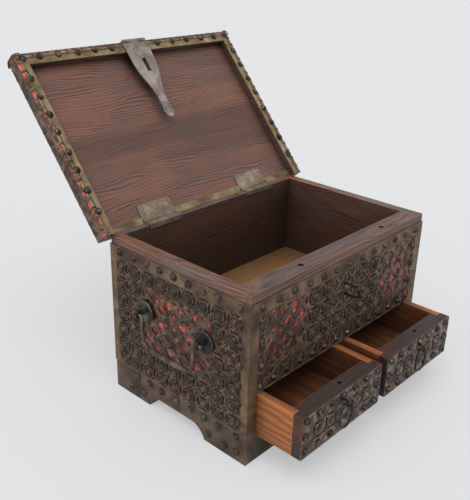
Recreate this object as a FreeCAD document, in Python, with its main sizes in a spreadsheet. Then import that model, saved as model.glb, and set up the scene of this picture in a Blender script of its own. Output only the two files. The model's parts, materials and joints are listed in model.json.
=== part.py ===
import FreeCAD, Part
import math
import os
import Sketcher
from FreeCAD import Placement, Rotation, Vector

os.makedirs("parts", exist_ok=True)

# A dowry chest: a wooden box clad in pierced iron over brass-edged boards, with two drawers
# below a lidded compartment. Millimetres, +Z up, X along the front, the front faces -Y.
# The origin is the middle of the carcass's footprint on the floor. The lid stands open, the
# hasp lies back on it and both drawers are pulled out.

doc = FreeCAD.newDocument("dowry_chest")
sheet = doc.addObject("Spreadsheet::Sheet", "sizes")

SIZES = [
    # carcass
    ("carcass_width", 395.0, "outside of the side boards"),
    ("carcass_depth", 262.5, "front face to back face of the boards"),
    ("carcass_height", 248.5, "floor to the rim"),
    ("side_thick", 15.5, "side board"),
    ("front_thick", 28.5, "board above the drawers"),
    ("back_thick", 11.0, "back board"),
    ("lip_thick", 10.0, "front lip that laps the side boards' ends"),
    ("rail_thick", 22.0, "rail below the drawers"),
    ("divider_thick", 14.0, "partition between the drawers"),
    ("bottom_thick", 10.0, "board under the drawers"),
    ("floor_thick", 9.0, "compartment floor"),
    ("floor_step", 4.0, "floor's underside above the drawer opening"),
    ("opening_bottom", 42.0, "lower edge of the drawer openings"),
    ("opening_height", 63.5, "height of the drawer openings"),
    ("foot_length", 75.0, "length of a foot along each side"),
    ("arch_run", 26.0, "length of the curve from foot to arch top"),
    ("arch_height", 19.0, "floor to the arch's top"),
    ("pin_hole_dia", 9.0, "channel for a drawer locking pin"),
    ("pin_hole_inset", 14.5, "channel's axis behind the front face"),
    ("pin_offset", 9.0, "channel's axis to the right of a drawer's middle"),
    # cladding
    ("sheet_thick", 1.3, "pierced and plain iron sheet"),
    ("strip_thick", 1.6, "brass strip and corner angle"),
    ("band_height", 12.5, "bare wood between the cladding and the rim"),
    ("strip_height", 18.0, "brass strip below the bare band"),
    ("plinth_height", 46.0, "plain sheet at the foot of the sides"),
    ("angle_side", 10.0, "corner angle's flange on the side and back"),
    ("lattice_bar", 4.2, "bar between two openings"),
    # bail handles
    ("bail_spacing", 116.0, "between the two posts of a handle"),
    ("bail_height", 157.0, "pivot above the floor"),
    ("bail_reach", 15.0, "pivot to the outside of the cladding"),
    ("bail_drop", 47.0, "pivot to the middle of the grip"),
    ("bail_pin_dia", 5.0, "turned end of the handle"),
    ("bail_arm_dia", 6.4, "arm where it meets the grip"),
    ("bail_swell_dia", 9.4, "thickest part of the grip"),
    ("bail_corner", 15.0, "bend radius between arm and grip"),
    ("bail_elbow", 5.5, "bend radius between arm and turned end"),
    ("bail_end", 6.0, "turned end beyond its post"),
    ("post_dia", 7.0, "shank of a post"),
    ("eye_dia", 12.0, "round eye of a post"),
    ("eye_width", 5.0, "eye along the pivot"),
    ("rosette_dia", 34.0, "dished rosette"),
    ("rosette_depth", 5.0, "rim of a rosette above the sheet"),
    ("rosette_thick", 1.4, "metal of a rosette"),
    # lid
    ("lid_gap", 3.5, "rim to the panel's underside when shut"),
    ("panel_thick", 11.0, "lid panel"),
    ("mould_drop", 13.0, "moulding below the panel"),
    ("mould_side", 12.5, "side moulding's thickness"),
    ("mould_front", 13.5, "front moulding's thickness"),
    ("mould_clear", 0.8, "side moulding to side board"),
    ("mould_clear_front", 1.0, "front moulding to front board"),
    ("lid_sheet", 1.2, "cover sheet of the lid"),
    ("lid_roll", 4.5, "cover sheet's rolled edge beyond the mouldings"),
    ("lid_roll_top", 8.0, "rounding of the rolled edge above"),
    ("edge_strip", 1.0, "brass strip under the moulding"),
    ("rear_strip_width", 13.0, "brass strip along the lid's rear edge"),
    ("lid_overhang", 6.2, "panel behind the hinge axis"),
    ("lid_angle", 130.8, "angle of the lid from shut"),
    # hinges
    ("knuckle_dia", 5.6, "hinge knuckle"),
    ("hinge_pin_dia", 2.6, "hinge pin"),
    ("fit_clear", 0.05, "radial running clearance of a pin or a post"),
    ("part_clear", 0.3, "gap between pieces that pass each other"),
    ("leaf_thick", 1.6, "hinge leaf"),
    ("leaf_width", 62.0, "hinge leaf along the axis"),
    ("leaf_reach", 25.0, "lid leaf in front of the axis"),
    ("leaf_lip", 5.5, "body leaf turned down inside the back board"),
    ("leaf_corner", 4.0, "rounding of the lid leaf's corners"),
    ("hinge_offset", 104.0, "middle of a hinge from the chest's middle"),
    ("knuckle_length", 20.0, "middle knuckle of a hinge"),
    # hasp
    ("hasp_length", 140.0, "axis to tip"),
    ("hasp_top", 49.0, "width at the shoulders"),
    ("hasp_waist", 15.0, "width above the tip"),
    ("hasp_tip", 18.5, "width of the flared tip"),
    ("hasp_neck", 15.4, "width of the neck between the strap's knuckles"),
    ("hasp_thick", 2.5, "plate at its edges"),
    ("hasp_ridge", 2.6, "ridge above the plate"),
    ("hasp_tilt", 1.2, "angle at which the hasp leans to the panel"),
    ("slot_long", 24.0, "slot along the hasp"),
    ("slot_wide", 8.0, "slot across the hasp"),
    ("slot_place", 46.0, "axis to the slot's middle"),
    ("hasp_knuckle_dia", 6.0, "knuckle of hasp and strap"),
    ("hasp_pin_dia", 2.8, "pin of the hasp"),
    ("strap_width", 44.0, "strap on the front moulding"),
    ("strap_rise", 16.0, "strap above its knuckles"),
    ("strap_thick", 2.0, "strap plate"),
    ("staple_dia", 4.0, "wire of the lock staple"),
    ("staple_height", 16.0, "between the staple's two legs"),
    ("staple_reach", 26.0, "staple in front of the cladding"),
    # drawers
    ("drawer_out", 75.0, "pulled out of the chest"),
    ("drawer_clear", 0.6, "drawer to opening on each side"),
    ("drawer_top_clear", 0.8, "drawer to opening at the top"),
    ("drawer_length", 245.0, "front face to back"),
    ("front_lap", 13.7, "front board outside its rabbet"),
    ("front_tongue", 10.0, "front board between the drawer's sides"),
    ("drawer_side", 11.5, "drawer side"),
    ("drawer_back", 9.0, "drawer back"),
    ("drawer_back_drop", 6.0, "drawer back below the sides' top"),
    ("drawer_bottom", 7.5, "drawer bottom"),
    ("lock_hole_dia", 7.0, "hole for the locking pin"),
    ("lock_hole_depth", 24.0, "depth of that hole"),
    # ring pulls
    ("ring_width", 30.0, "outside width of a ring"),
    ("ring_height", 40.0, "outside height of a ring"),
    ("ring_dia", 3.2, "wire of a ring"),
    ("ring_top", 87.0, "pivot of a ring above the floor"),
    ("ring_gap", 3.6, "ring to the face sheet"),
    ("pull_dia", 2.8, "wire of a ring's staple"),
    ("pull_inside", 5.2, "opening of a ring's staple"),
]

for row, (alias, value, note) in enumerate(SIZES, start=1):
    sheet.set("A%d" % row, note)
    sheet.set("B%d" % row, str(value))
    sheet.setAlias("B%d" % row, alias)
doc.recompute()


class Size:
    """A length that carries its number and the expression that binds it to the sheet."""

    def __init__(self, text, value):
        self.text = text
        self.value = value

    def __add__(self, other):
        other = size(other)
        return Size("(%s + %s)" % (self.text, other.text), self.value + other.value)

    def __radd__(self, other):
        return size(other) + self

    def __sub__(self, other):
        other = size(other)
        return Size("(%s - %s)" % (self.text, other.text), self.value - other.value)

    def __rsub__(self, other):
        return size(other) - self

    def __mul__(self, other):
        other = size(other)
        return Size("(%s * %s)" % (self.text, other.text), self.value * other.value)

    def __rmul__(self, other):
        return size(other) * self

    def __truediv__(self, other):
        other = size(other)
        return Size("(%s / %s)" % (self.text, other.text), self.value / other.value)

    def __neg__(self):
        return Size("(0 - %s)" % self.text, -self.value)


def size(item):
    """A cell of the sheet by its alias, or a plain share as a Size."""
    if isinstance(item, Size):
        return item
    if isinstance(item, str):
        return Size("sizes." + item, float(sheet.get(item)))
    return Size(repr(float(item)), float(item))


def number(item):
    return size(item).value


def bind(thing, prop, item):
    thing.setExpression(prop, size(item).text)


def put(thing, x, y, z):
    bind(thing, "Placement.Base.x", x)
    bind(thing, "Placement.Base.y", y)
    bind(thing, "Placement.Base.z", z)


# Primitives and booleans bound to the sheet

def box(name, x, y, z, length, width, height):
    """A block from its low corner and its three sizes."""
    block = doc.addObject("Part::Box", name)
    bind(block, "Length", length)
    bind(block, "Width", width)
    bind(block, "Height", height)
    put(block, x, y, z)
    return block


TURN_TO = {"x": Rotation(Vector(0, 1, 0), 90), "y": Rotation(Vector(1, 0, 0), -90), "z": Rotation()}


def rod(name, x, y, z, radius, length, along):
    """A cylinder from the middle of its low end, along +x, +y or +z."""
    cylinder = doc.addObject("Part::Cylinder", name)
    bind(cylinder, "Radius", radius)
    bind(cylinder, "Height", length)
    cylinder.Placement = Placement(Vector(number(x), number(y), number(z)), TURN_TO[along])
    put(cylinder, x, y, z)
    return cylinder


def fuse(name, things):
    joined = doc.addObject("Part::MultiFuse", name)
    joined.Shapes = things
    joined.Refine = True
    return joined


def cut(name, base, tool):
    left = doc.addObject("Part::Cut", name)
    left.Base = base
    left.Tool = tool
    left.Refine = True
    return left


# PartDesign bodies whose sketches are bound point by point

def plane_of(body, role):
    for feature in body.Origin.OriginFeatures:
        if feature.Role == role:
            return feature
    raise ValueError(role)


def sketch(body, name, role, loops, offset=None):
    """A sketch on an origin plane. Each loop is a circle (x, y, radius) or a list of corners.

    A corner is (x, y), or (x, y, radius, side) where the edge that reaches it is an arc of that
    radius with its middle on the left (+1) or the right (-1) of the way round.
    """
    drawing = body.newObject("Sketcher::SketchObject", name)
    drawing.AttachmentSupport = (plane_of(body, role), [""])
    drawing.MapMode = "FlatFace"
    if offset is not None:
        drawing.setExpression("AttachmentOffset.Base.z", size(offset).text)
    for loop in loops:
        if isinstance(loop, tuple):
            add_circle(drawing, *loop)
        else:
            add_outline(drawing, loop)
    return drawing


def hold(drawing, geo, pos, x, y):
    """Tie one point of the sketch to its place on the sheet."""
    for kind, item in (("DistanceX", x), ("DistanceY", y)):
        index = drawing.addConstraint(Sketcher.Constraint(kind, -1, 1, geo, pos, number(item)))
        drawing.setExpression("Constraints[%d]" % index, size(item).text)


def hold_radius(drawing, geo, radius):
    index = drawing.addConstraint(Sketcher.Constraint("Radius", geo, number(radius)))
    drawing.setExpression("Constraints[%d]" % index, size(radius).text)


def hold_bend(drawing, geo, here, there):
    """Fix an arc whose two ends are held: by its radius, or by its middle if it is a half circle."""
    across = number(there[0]) - number(here[0])
    along = number(there[1]) - number(here[1])
    if number(there[2]) * 2 - math.hypot(across, along) > 1e-6:
        hold_radius(drawing, geo, there[2])
        return
    kind, item = ("DistanceX", there[0]) if across == 0 else ("DistanceY", there[1])
    index = drawing.addConstraint(Sketcher.Constraint(kind, -1, 1, geo, 3, number(item)))
    drawing.setExpression("Constraints[%d]" % index, size(item).text)


def add_circle(drawing, x, y, radius):
    circle = Part.Circle(Vector(number(x), number(y), 0), Vector(0, 0, 1), number(radius))
    geo = drawing.addGeometry(circle, False)
    hold(drawing, geo, 3, x, y)
    hold_radius(drawing, geo, radius)


def arc_between(start, end, radius, side):
    """The short arc from start to end, and whether it runs anticlockwise."""
    chord = end - start
    half = chord.Length / 2
    rise = math.sqrt(max(radius * radius - half * half, 0))
    normal = Vector(-chord.y, chord.x, 0).normalize()
    middle = (start + end) / 2 + normal * (rise * side)
    first = math.atan2(start.y - middle.y, start.x - middle.x)
    last = math.atan2(end.y - middle.y, end.x - middle.x)
    circle = Part.Circle(middle, Vector(0, 0, 1), radius)
    if side > 0:
        return Part.ArcOfCircle(circle, first, last), True
    return Part.ArcOfCircle(circle, last, first), False


def add_outline(drawing, corners):
    ends = []
    bends = []
    count = len(corners)
    for index in range(count):
        here = corners[index - 1]
        there = corners[index]
        start = Vector(number(here[0]), number(here[1]), 0)
        end = Vector(number(there[0]), number(there[1]), 0)
        if len(there) == 2:
            geo = drawing.addGeometry(Part.LineSegment(start, end), False)
            ends.append((geo, 1, 2))
            continue
        arc, forward = arc_between(start, end, number(there[2]), there[3])
        geo = drawing.addGeometry(arc, False)
        ends.append((geo, 1, 2) if forward else (geo, 2, 1))
        bends.append((geo, here, there))
    for index in range(count):
        geo, _, last = ends[index]
        hold(drawing, geo, last, corners[index][0], corners[index][1])
        after, first, _ = ends[(index + 1) % count]
        drawing.addConstraint(Sketcher.Constraint("Coincident", geo, last, after, first))
    for bend in bends:
        hold_bend(drawing, *bend)


def straight_bar(body, name, role, offset, middle, radius, length, back=False):
    section = sketch(body, name + "_section", role, [middle + (radius,)], offset)
    return pad(body, name, section, length, back)


def pad(body, name, drawing, length, back=False):
    feature = body.newObject("PartDesign::Pad", name)
    feature.Profile = drawing
    bind(feature, "Length", length)
    feature.Reversed = back
    return feature


def pocket(body, name, drawing, length, back=False):
    feature = body.newObject("PartDesign::Pocket", name)
    feature.Profile = drawing
    bind(feature, "Length", length)
    feature.Reversed = back
    return feature


def new_body(name):
    return doc.addObject("PartDesign::Body", name)


# Forged bars and dished discs, as flat facets

def facet(a, b, c, d):
    """The flat faces on four corners: one if they lie in a plane, otherwise two."""
    if abs((b - a).cross(c - a).dot(d - a)) < 1e-9:
        return [Part.Face(Part.makePolygon([a, b, c, d, a]))]
    return [Part.Face(Part.makePolygon([a, b, c, a])), Part.Face(Part.makePolygon([a, c, d, a]))]


def skin(loops, closed):
    """The solid whose cross-sections are the loops, joined end to end or round in a ring."""
    faces = []
    after = loops[1:] + loops[:1] if closed else loops[1:]
    for near, far in zip(loops, after):
        for index in range(len(near)):
            faces += facet(near[index - 1], near[index], far[index], far[index - 1])
    if not closed:
        faces += [Part.Face(Part.makePolygon(loop + loop[:1])) for loop in (loops[0], loops[-1])]
    solid = Part.Solid(Part.Shell(faces))
    if solid.Volume < 0:
        solid.reverse()
    return solid


def forged(name, stations, sides, closed, turn):
    """A forged bar along stations (u, v, radius) of a plane, mitred where it bends.

    Its sections have the given number of flats. The rotation turns the plane to its place.
    """
    count = len(stations)
    loops = []
    for index, (u, v, radius) in enumerate(stations):
        here = Vector(u, v, 0)
        before = Vector(*stations[index - 1][:2], 0) if closed or index else None
        later = Vector(*stations[(index + 1) % count][:2], 0) if closed or index < count - 1 else None
        arrive = (here - before).normalize() if before else None
        leave = (later - here).normalize() if later else arrive
        arrive = arrive or leave
        along = (arrive + leave).normalize()
        side = Vector(-along.y, along.x, 0) / along.dot(leave)
        loop = []
        for corner in range(sides):
            angle = (corner + 0.5) * 2 * math.pi / sides
            loop.append(here + side * (radius * math.cos(angle)) + Vector(0, 0, radius * math.sin(angle)))
        loops.append(loop)
    bar = doc.addObject("Part::Feature", name)
    bar.Shape = skin(loops, closed)
    bar.Placement = Placement(Vector(), turn)
    return bar


def bend(u, v, reach, first, last, radius, steps):
    """Stations round a bend about (u, v), between two angles in degrees."""
    stations = []
    for step in range(steps + 1):
        angle = math.radians(first + (last - first) * step / steps)
        stations.append((u + reach * math.cos(angle), v + reach * math.sin(angle), radius))
    return stations


def flats(x, y, radius, sides):
    """The corners of a regular outline about (x, y), with flats that face along the axes."""
    corners = []
    for index in range(sides):
        angle = (index + 0.5) * 2 * math.pi / sides
        corners.append((x + radius * math.cos(angle), y + radius * math.sin(angle)))
    return corners


def rectangle(x0, y0, x1, y1):
    return [(x0, y0), (x1, y0), (x1, y1), (x0, y1)]


NODES = {}


def node(name, thing):
    """Name a finished piece. Its name is its file's name."""
    thing.Label = name
    NODES[name] = thing
    return thing


# Places shared by several pieces
half_width = size("carcass_width") / 2
half_depth = size("carcass_depth") / 2
front = -half_depth
back = half_depth
top = size("carcass_height")
inner = half_width - "side_thick"
opening_bottom = size("opening_bottom")
opening_top = opening_bottom + "opening_height"
clad_top = top - "band_height"
sheet_thick = size("sheet_thick")
strip_thick = size("strip_thick")
fit_clear = size("fit_clear")
part_clear = size("part_clear")
foot = size("foot_length")
arch_run = size("arch_run")
arch_height = size("arch_height")
arch_radius = (arch_run * arch_run + arch_height * arch_height) / (arch_height * 2)
back_inner = back - "back_thick"
front_inner = front + "front_thick"
rail_inner = front + "rail_thick"
drawer_x = (inner + size("divider_thick") / 2) / 2


def arch(low, high):
    """The four corners of the arched opening between two feet, walked from low to high."""
    return [
        (low, 0),
        (low + arch_run, arch_height, arch_radius, -1),
        (high - arch_run, arch_height),
        (high, 0, arch_radius, -1),
    ]


# Carcass boards

def side_board(name, side):
    """A full-height end board, notched where the front pieces lap it, with two post holes."""
    body = new_body(name)
    lap = front + "lip_thick"
    outline = [(lap, 0)] + arch(front + foot, back - foot) + [
        (back, 0),
        (back, top),
        (lap, top),
        (lap, opening_top),
        (front, opening_top),
        (front, opening_bottom),
        (lap, opening_bottom),
    ]
    holes = [(half * size("bail_spacing") / 2, size("bail_height"), size("post_dia") / 2 + fit_clear)
             for half in (-1, 1)]
    drawing = sketch(body, name + "_outline", "YZ_Plane", [outline] + holes)
    pad(body, name + "_pad", drawing, "side_thick")
    put(body, -half_width if side < 0 else inner, 0, 0)
    return node(name, body)


side_board("left_side_board", -1)
side_board("right_side_board", 1)

body = new_body("back_board")
outline = [(-inner, 0)] + arch(-half_width + foot, half_width - foot) + [(inner, 0), (inner, top), (-inner, top)]
pad(body, "back_board_pad", sketch(body, "back_board_outline", "XZ_Plane", [outline]), "back_thick", True)
put(body, 0, back_inner, 0)
node("back_board", body)

# The board above the drawers laps the side boards with its lip. Two channels for the drawers'
# locking pins run down through it, and two holes hold the lock staple.
body = new_body("front_board")
lap_y = size("lip_thick")
deep_y = size("front_thick")
outline = [
    (-half_width, 0),
    (half_width, 0),
    (half_width, lap_y),
    (inner, lap_y),
    (inner, deep_y),
    (-inner, deep_y),
    (-inner, lap_y),
    (-half_width, lap_y),
]
channels = [(half * drawer_x + "pin_offset", size("pin_hole_inset"), size("pin_hole_dia") / 2)
            for half in (-1, 1)]
pad(body, "front_board_pad", sketch(body, "front_board_plan", "XY_Plane", [outline] + channels),
    top - opening_top)
lid_low = top + "lid_gap" - "mould_drop" - "edge_strip"
hasp_axis_z = lid_low - size("hasp_thick") / 2 - part_clear * 2
staple_z = hasp_axis_z - "slot_place"
leg_radius = size("staple_dia") / 2 + fit_clear
legs = [(0, staple_z - opening_top + half * size("staple_height") / 2, leg_radius) for half in (-1, 1)]
pocket(body, "front_board_staple_holes", sketch(body, "front_board_staple", "XZ_Plane", legs),
       "front_thick")
put(body, 0, front, opening_top)
node("front_board", body)

# The rail below the drawers has the same lip and the same arch as the other three sides.
body = new_body("front_rail")
arch_x = arch(-half_width + foot, half_width - foot)
outline = [(-half_width, 0)] + arch_x + [
    (half_width, 0), (half_width, opening_bottom), (-half_width, opening_bottom)]
pad(body, "front_rail_lip", sketch(body, "front_rail_face", "XZ_Plane", [outline]), "lip_thick", True)
outline = [(-inner, 0)] + arch_x + [(inner, 0), (inner, opening_bottom), (-inner, opening_bottom)]
pad(body, "front_rail_body", sketch(body, "front_rail_inner", "XZ_Plane", [outline]), "rail_thick", True)
put(body, 0, front, 0)
node("front_rail", body)

body = new_body("drawer_divider")
floor_bottom = opening_top + "floor_step"
outline = [
    (front, opening_bottom),
    (back_inner, opening_bottom),
    (back_inner, floor_bottom),
    (front_inner, floor_bottom),
    (front_inner, opening_top),
    (front, opening_top),
]
pad(body, "drawer_divider_pad", sketch(body, "drawer_divider_outline", "YZ_Plane", [outline]),
    "divider_thick")
put(body, -size("divider_thick") / 2, 0, 0)
node("drawer_divider", body)

node("bottom_board", box("bottom_board", -inner, rail_inner, opening_bottom - "bottom_thick",
                         inner * 2, back_inner - rail_inner, "bottom_thick"))
node("compartment_floor", box("compartment_floor", -inner, front_inner, floor_bottom,
                              inner * 2, back_inner - front_inner, "floor_thick"))

# Cladding. The pierced sheets meet the corner angles, the top strips and the plinth sheets edge
# to edge. Their lattices are fields of square openings set on their corners.

# A lattice's place and spacing are shares of its sheet.
FRONT_PITCH_SHARE = 0.12
SIDE_PITCH_SHARE = 0.0785
FRONT_HEIGHT_SHARE = 0.627
SIDE_HEIGHT_SHARE = 0.54
FRONT_OFFSET_SHARE = 0.66
LATTICE_SIDE_SHARES = [(row, column) for row in range(-3, 4) for column in range(-4, 5)
                       if abs(row) + abs(column) <= 5 and (row + column) % 2 == 0]
LATTICE_FRONT_SHARES = [(row, column) for row in range(-3, 4) for column in range(-3, 4)
                        if abs(row) + abs(column) <= 5 and (row + column) % 2 == 0]


def diamond(x, y, reach):
    corners = [Vector(x - reach, y, 0), Vector(x, y - reach, 0), Vector(x + reach, y, 0),
               Vector(x, y + reach, 0), Vector(x - reach, y, 0)]
    return Part.makePolygon(corners)


def pierced(name, low, bottom, high, upper, fields, rounds, turn, place):
    """A sheet in its own plane, with lattice fields and round holes, laid onto the carcass."""
    frame = Part.makePolygon([Vector(low, bottom, 0), Vector(high, bottom, 0), Vector(high, upper, 0),
                              Vector(low, upper, 0), Vector(low, bottom, 0)])
    wires = [frame]
    for x, y, pitch, shares in fields:
        reach = (pitch - number("lattice_bar")) / math.sqrt(2)
        for row, column in shares:
            wires.append(diamond(x + column * pitch / math.sqrt(2), y + row * pitch / math.sqrt(2), reach))
    for x, y, radius in rounds:
        wires.append(Part.Wire(Part.makeCircle(radius, Vector(x, y, 0))))
    face = Part.makeFace(wires, "Part::FaceMakerBullseye")
    sheet_piece = doc.addObject("Part::Feature", name)
    sheet_piece.Shape = face.extrude(Vector(0, 0, number(sheet_thick)))
    sheet_piece.Placement = Placement(place, turn)
    return node(name, sheet_piece)


UPRIGHT_LEFT = Rotation(Vector(0, -1, 0), Vector(0, 0, 1), Vector(-1, 0, 0), "XYZ")
UPRIGHT_RIGHT = Rotation(Vector(0, 1, 0), Vector(0, 0, 1), Vector(1, 0, 0), "XYZ")
UPRIGHT_FRONT = Rotation(Vector(1, 0, 0), Vector(0, 0, 1), Vector(0, -1, 0), "XYZ")

flange = size("angle_side")
strip_bottom = clad_top - "strip_height"
plinth_top = size("plinth_height")
post_hole = number(size("post_dia") / 2 + fit_clear)
post_half = number(size("bail_spacing") / 2)
bail_z = number("bail_height")
span = number(half_depth - flange)
side_tall = number(strip_bottom - plinth_top)
side_field = [(0.0, number(plinth_top) + side_tall * SIDE_HEIGHT_SHARE, side_tall * SIDE_PITCH_SHARE,
               LATTICE_SIDE_SHARES)]
side_rounds = [(-post_half, bail_z, post_hole), (post_half, bail_z, post_hole)]
for name, turn, x in (("left_pierced_sheet", UPRIGHT_LEFT, -half_width), ("right_pierced_sheet", UPRIGHT_RIGHT, half_width)):
    pierced(name, -span, number(plinth_top), span, number(strip_bottom), side_field, side_rounds,
            turn, Vector(number(x), 0, 0))
front_tall = number(strip_bottom - opening_top)
lattice_z = number(opening_top) + front_tall * FRONT_HEIGHT_SHARE
front_fields = [(side * number(inner) * FRONT_OFFSET_SHARE, lattice_z, front_tall * FRONT_PITCH_SHARE,
                 LATTICE_FRONT_SHARES) for side in (-1, 1)]
half_staple = number(size("staple_height") / 2)
leg_rounds = [(0.0, number(staple_z) + side * half_staple, number(leg_radius)) for side in (-1, 1)]
pierced("front_pierced_sheet", number(-inner), number(opening_top), number(inner), number(strip_bottom),
        front_fields, leg_rounds, UPRIGHT_FRONT, Vector(0, number(front), 0))


def plinth_side(name, side):
    body = new_body(name)
    outline = [(front, 0)] + arch(front + foot, back - foot) + [(back, 0), (back, plinth_top), (front, plinth_top)]
    pad(body, name + "_pad", sketch(body, name + "_outline", "YZ_Plane", [outline]), sheet_thick)
    put(body, -half_width - sheet_thick if side < 0 else half_width, 0, 0)
    return node(name, body)


plinth_side("left_plinth_sheet", -1)
plinth_side("right_plinth_sheet", 1)

body = new_body("front_plinth_sheet")
wide = half_width + sheet_thick
outline = [(-wide, 0)] + arch_x + [
    (wide, 0),
    (wide, plinth_top),
    (inner, plinth_top),
    (inner, opening_bottom),
    (-inner, opening_bottom),
    (-inner, plinth_top),
    (-wide, plinth_top),
]
pad(body, "front_plinth_pad", sketch(body, "front_plinth_outline", "XZ_Plane", [outline]), sheet_thick)
put(body, 0, front, 0)
node("front_plinth_sheet", body)

for name, x in (("left_top_strip", -half_width - strip_thick), ("right_top_strip", half_width)):
    node(name, box(name, x, front + flange, strip_bottom, strip_thick, size("carcass_depth") - flange * 2,
                   "strip_height"))
node("front_top_strip", box("front_top_strip", -inner, front - strip_thick, strip_bottom, inner * 2,
                            strip_thick, "strip_height"))


def corner_angle(name, side, end):
    """An upright brass angle: one flange on the side board, the other on the front or back."""
    body = new_body(name)
    reach = size("side_thick") if end < 0 else flange
    corner_x = side * (half_width + strip_thick)
    corner_y = end * (half_depth + strip_thick)
    outline = [
        (corner_x, corner_y),
        (corner_x, end * (half_depth - flange)),
        (side * half_width, end * (half_depth - flange)),
        (side * half_width, end * half_depth),
        (side * (half_width - reach), end * half_depth),
        (side * (half_width - reach), corner_y),
    ]
    pad(body, name + "_pad", sketch(body, name + "_plan", "XY_Plane", [outline]), clad_top - plinth_top)
    put(body, 0, 0, plinth_top)
    return node(name, body)


corner_angle("front_left_angle", -1, -1)
corner_angle("front_right_angle", 1, -1)
corner_angle("back_left_angle", -1, 1)
corner_angle("back_right_angle", 1, 1)

# Lock staple: a round bar bent to a loop that stands out of the front, upright, so that the
# hasp's slot drops over it. Its legs pass through the board.
ALONG_YZ = Rotation(Vector(0, 1, 0), Vector(0, 0, 1), Vector(1, 0, 0), "XYZ")


def staple(name, wire, half, reach, depth):
    """A wire bent to a half round nose at the reach, with two legs that run back to the depth."""
    wire, half, reach, depth = (number(item) for item in (wire, half, reach, depth))
    stations = [(depth, half, wire)] + bend(-reach, 0.0, half, 90, 270, wire, 8) + [(depth, -half, wire)]
    return forged(name, stations, 8, False, ALONG_YZ)


half = size("staple_height") / 2
wire = size("staple_dia") / 2
loop = staple("lock_staple", wire, half, size("staple_reach") + sheet_thick - wire - half, "front_thick")
loop.Placement.Base = Vector(0, number(front), number(staple_z))
node("lock_staple", loop)

# Bail handles. A post's shank passes through rosette, sheet and board, and its eye carries the
# handle's turned end.
pivot_x = half_width + sheet_thick + "bail_reach"
arm_y = size("bail_spacing") / 2 - size("eye_width") / 2 - size("bail_elbow") - part_clear


def copies(name, source, places):
    """One node of separate, equal solids."""
    group = doc.addObject("Part::Feature", name)
    doc.recompute()
    solids = []
    for place in places:
        solid = source.Shape.copy()
        solid.Placement = place.multiply(solid.Placement)
        solids.append(solid)
    group.Shape = Part.makeCompound(solids)
    return node(name, group)


def post_places(reach):
    places = []
    for side, turn in ((-1, Rotation(Vector(0, 0, 1), 180)), (1, Rotation())):
        for end in (-1, 1):
            places.append(Placement(Vector(side * reach, end * post_half, bail_z), turn))
    return places


body = new_body("post")
shank = size("side_thick") + sheet_thick + "bail_reach"
square = sketch(body, "post_flats", "YZ_Plane", [flats(size(0), size(0), size("post_dia") / 2, 8)])
pad(body, "post_shank", square, shank - size("eye_dia") / 2 + size("post_dia") / 4)
eye = sketch(body, "post_eye_flats", "XZ_Plane", [flats(shank, size(0), size("eye_dia") / 2, 16)],
             -size("eye_width") / 2)
pad(body, "post_eye", eye, "eye_width")
bore = sketch(body, "post_bore_round", "XZ_Plane", [(shank, 0, size("bail_pin_dia") / 2 + fit_clear)],
              -size("eye_width") / 2)
pocket(body, "post_bore", bore, "eye_width", True)
copies("bail_posts", body, post_places(number(inner)))

rim = number("rosette_dia") / 2
hub = number(size("post_dia") / 2 + fit_clear)
metal = number("rosette_thick")
rise = number("rosette_depth")
DISH_SHARES = [(0.0, 0.45), (1.0, 1.0)]
under = [(0.0, hub)] + [((rise - metal) * up, rim * out) for up, out in DISH_SHARES]
over = [(metal + (rise - metal) * up, (rim - metal) * out) for up, out in reversed(DISH_SHARES)] + [(metal, hub)]
loops = []
for index in range(20):
    angle = 2 * math.pi * index / 20
    loops.append([Vector(x, out * math.cos(angle), out * math.sin(angle)) for x, out in under + over])
dish = doc.addObject("Part::Feature", "rosette")
dish.Shape = skin(loops, True)
copies("bail_rosettes", dish, post_places(number(half_width + sheet_thick)))


def bail(name, side):
    """A swan-neck handle: turned ends, two tapering arms, a grip that swells in the middle."""
    drop = number("bail_drop")
    corner = number("bail_corner")
    elbow = number("bail_elbow")
    thin = number("bail_pin_dia") / 2
    arm = number("bail_arm_dia") / 2
    thick = number("bail_swell_dia") / 2
    reach = number(arm_y)
    grip = reach - corner
    half = bend(reach + elbow, -elbow, elbow, 90, 180, thin, 4)
    half += bend(grip, corner - drop, corner, 0, -90, arm, 5)
    swell = [0.75, 0.5, 0.25]
    half += [(grip * out, -drop, arm + (thick - arm) * (1 - out * out)) for out in swell]
    stations = half + [(0.0, -drop, thick)] + [(-u, v, radius) for u, v, radius in reversed(half)]
    bar = forged(name + "_bar", stations, 8, False, ALONG_YZ)
    pin_in = arm_y + "bail_elbow"
    pin_long = size("bail_spacing") / 2 + size("eye_width") / 2 + "bail_end" - pin_in
    pins = [rod("%s_pin_%d" % (name, index), 0, low, 0, size("bail_pin_dia") / 2, pin_long, "y")
            for index, low in enumerate((pin_in, -pin_in - pin_long))]
    whole = fuse(name, [bar] + pins)
    put(whole, pivot_x * side, 0, "bail_height")
    return node(name, whole)


bail("left_bail", -1)
bail("right_bail", 1)

# Lid. Every piece is modelled with the lid shut, then swung open about the hinge axis.
knuckle = size("knuckle_dia") / 2
axis_y = back + part_clear + knuckle
axis_z = top + size("lid_gap") / 2
panel_bottom = top + "lid_gap"
panel_top = panel_bottom + "panel_thick"
mould_bottom = panel_bottom - "mould_drop"
lid_inner_x = half_width + "mould_clear"
lid_outer_x = lid_inner_x + "mould_side"
lid_inner_y = front - "mould_clear_front"
lid_outer_y = lid_inner_y - "mould_front"
lid_rear = axis_y + "lid_overhang"
edge_strip = size("edge_strip")
lid_sheet = size("lid_sheet")
hinge_x = size("hinge_offset")
leaf_half = size("leaf_width") / 2
middle_half = size("knuckle_length") / 2

LID_SWING = Placement(Vector(0, 0, 0), Rotation(Vector(1, 0, 0), -number("lid_angle")),
                      Vector(0, number(axis_y), number(axis_z)))


def swing(thing):
    thing.Placement = LID_SWING.multiply(thing.Placement)
    return thing


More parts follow.
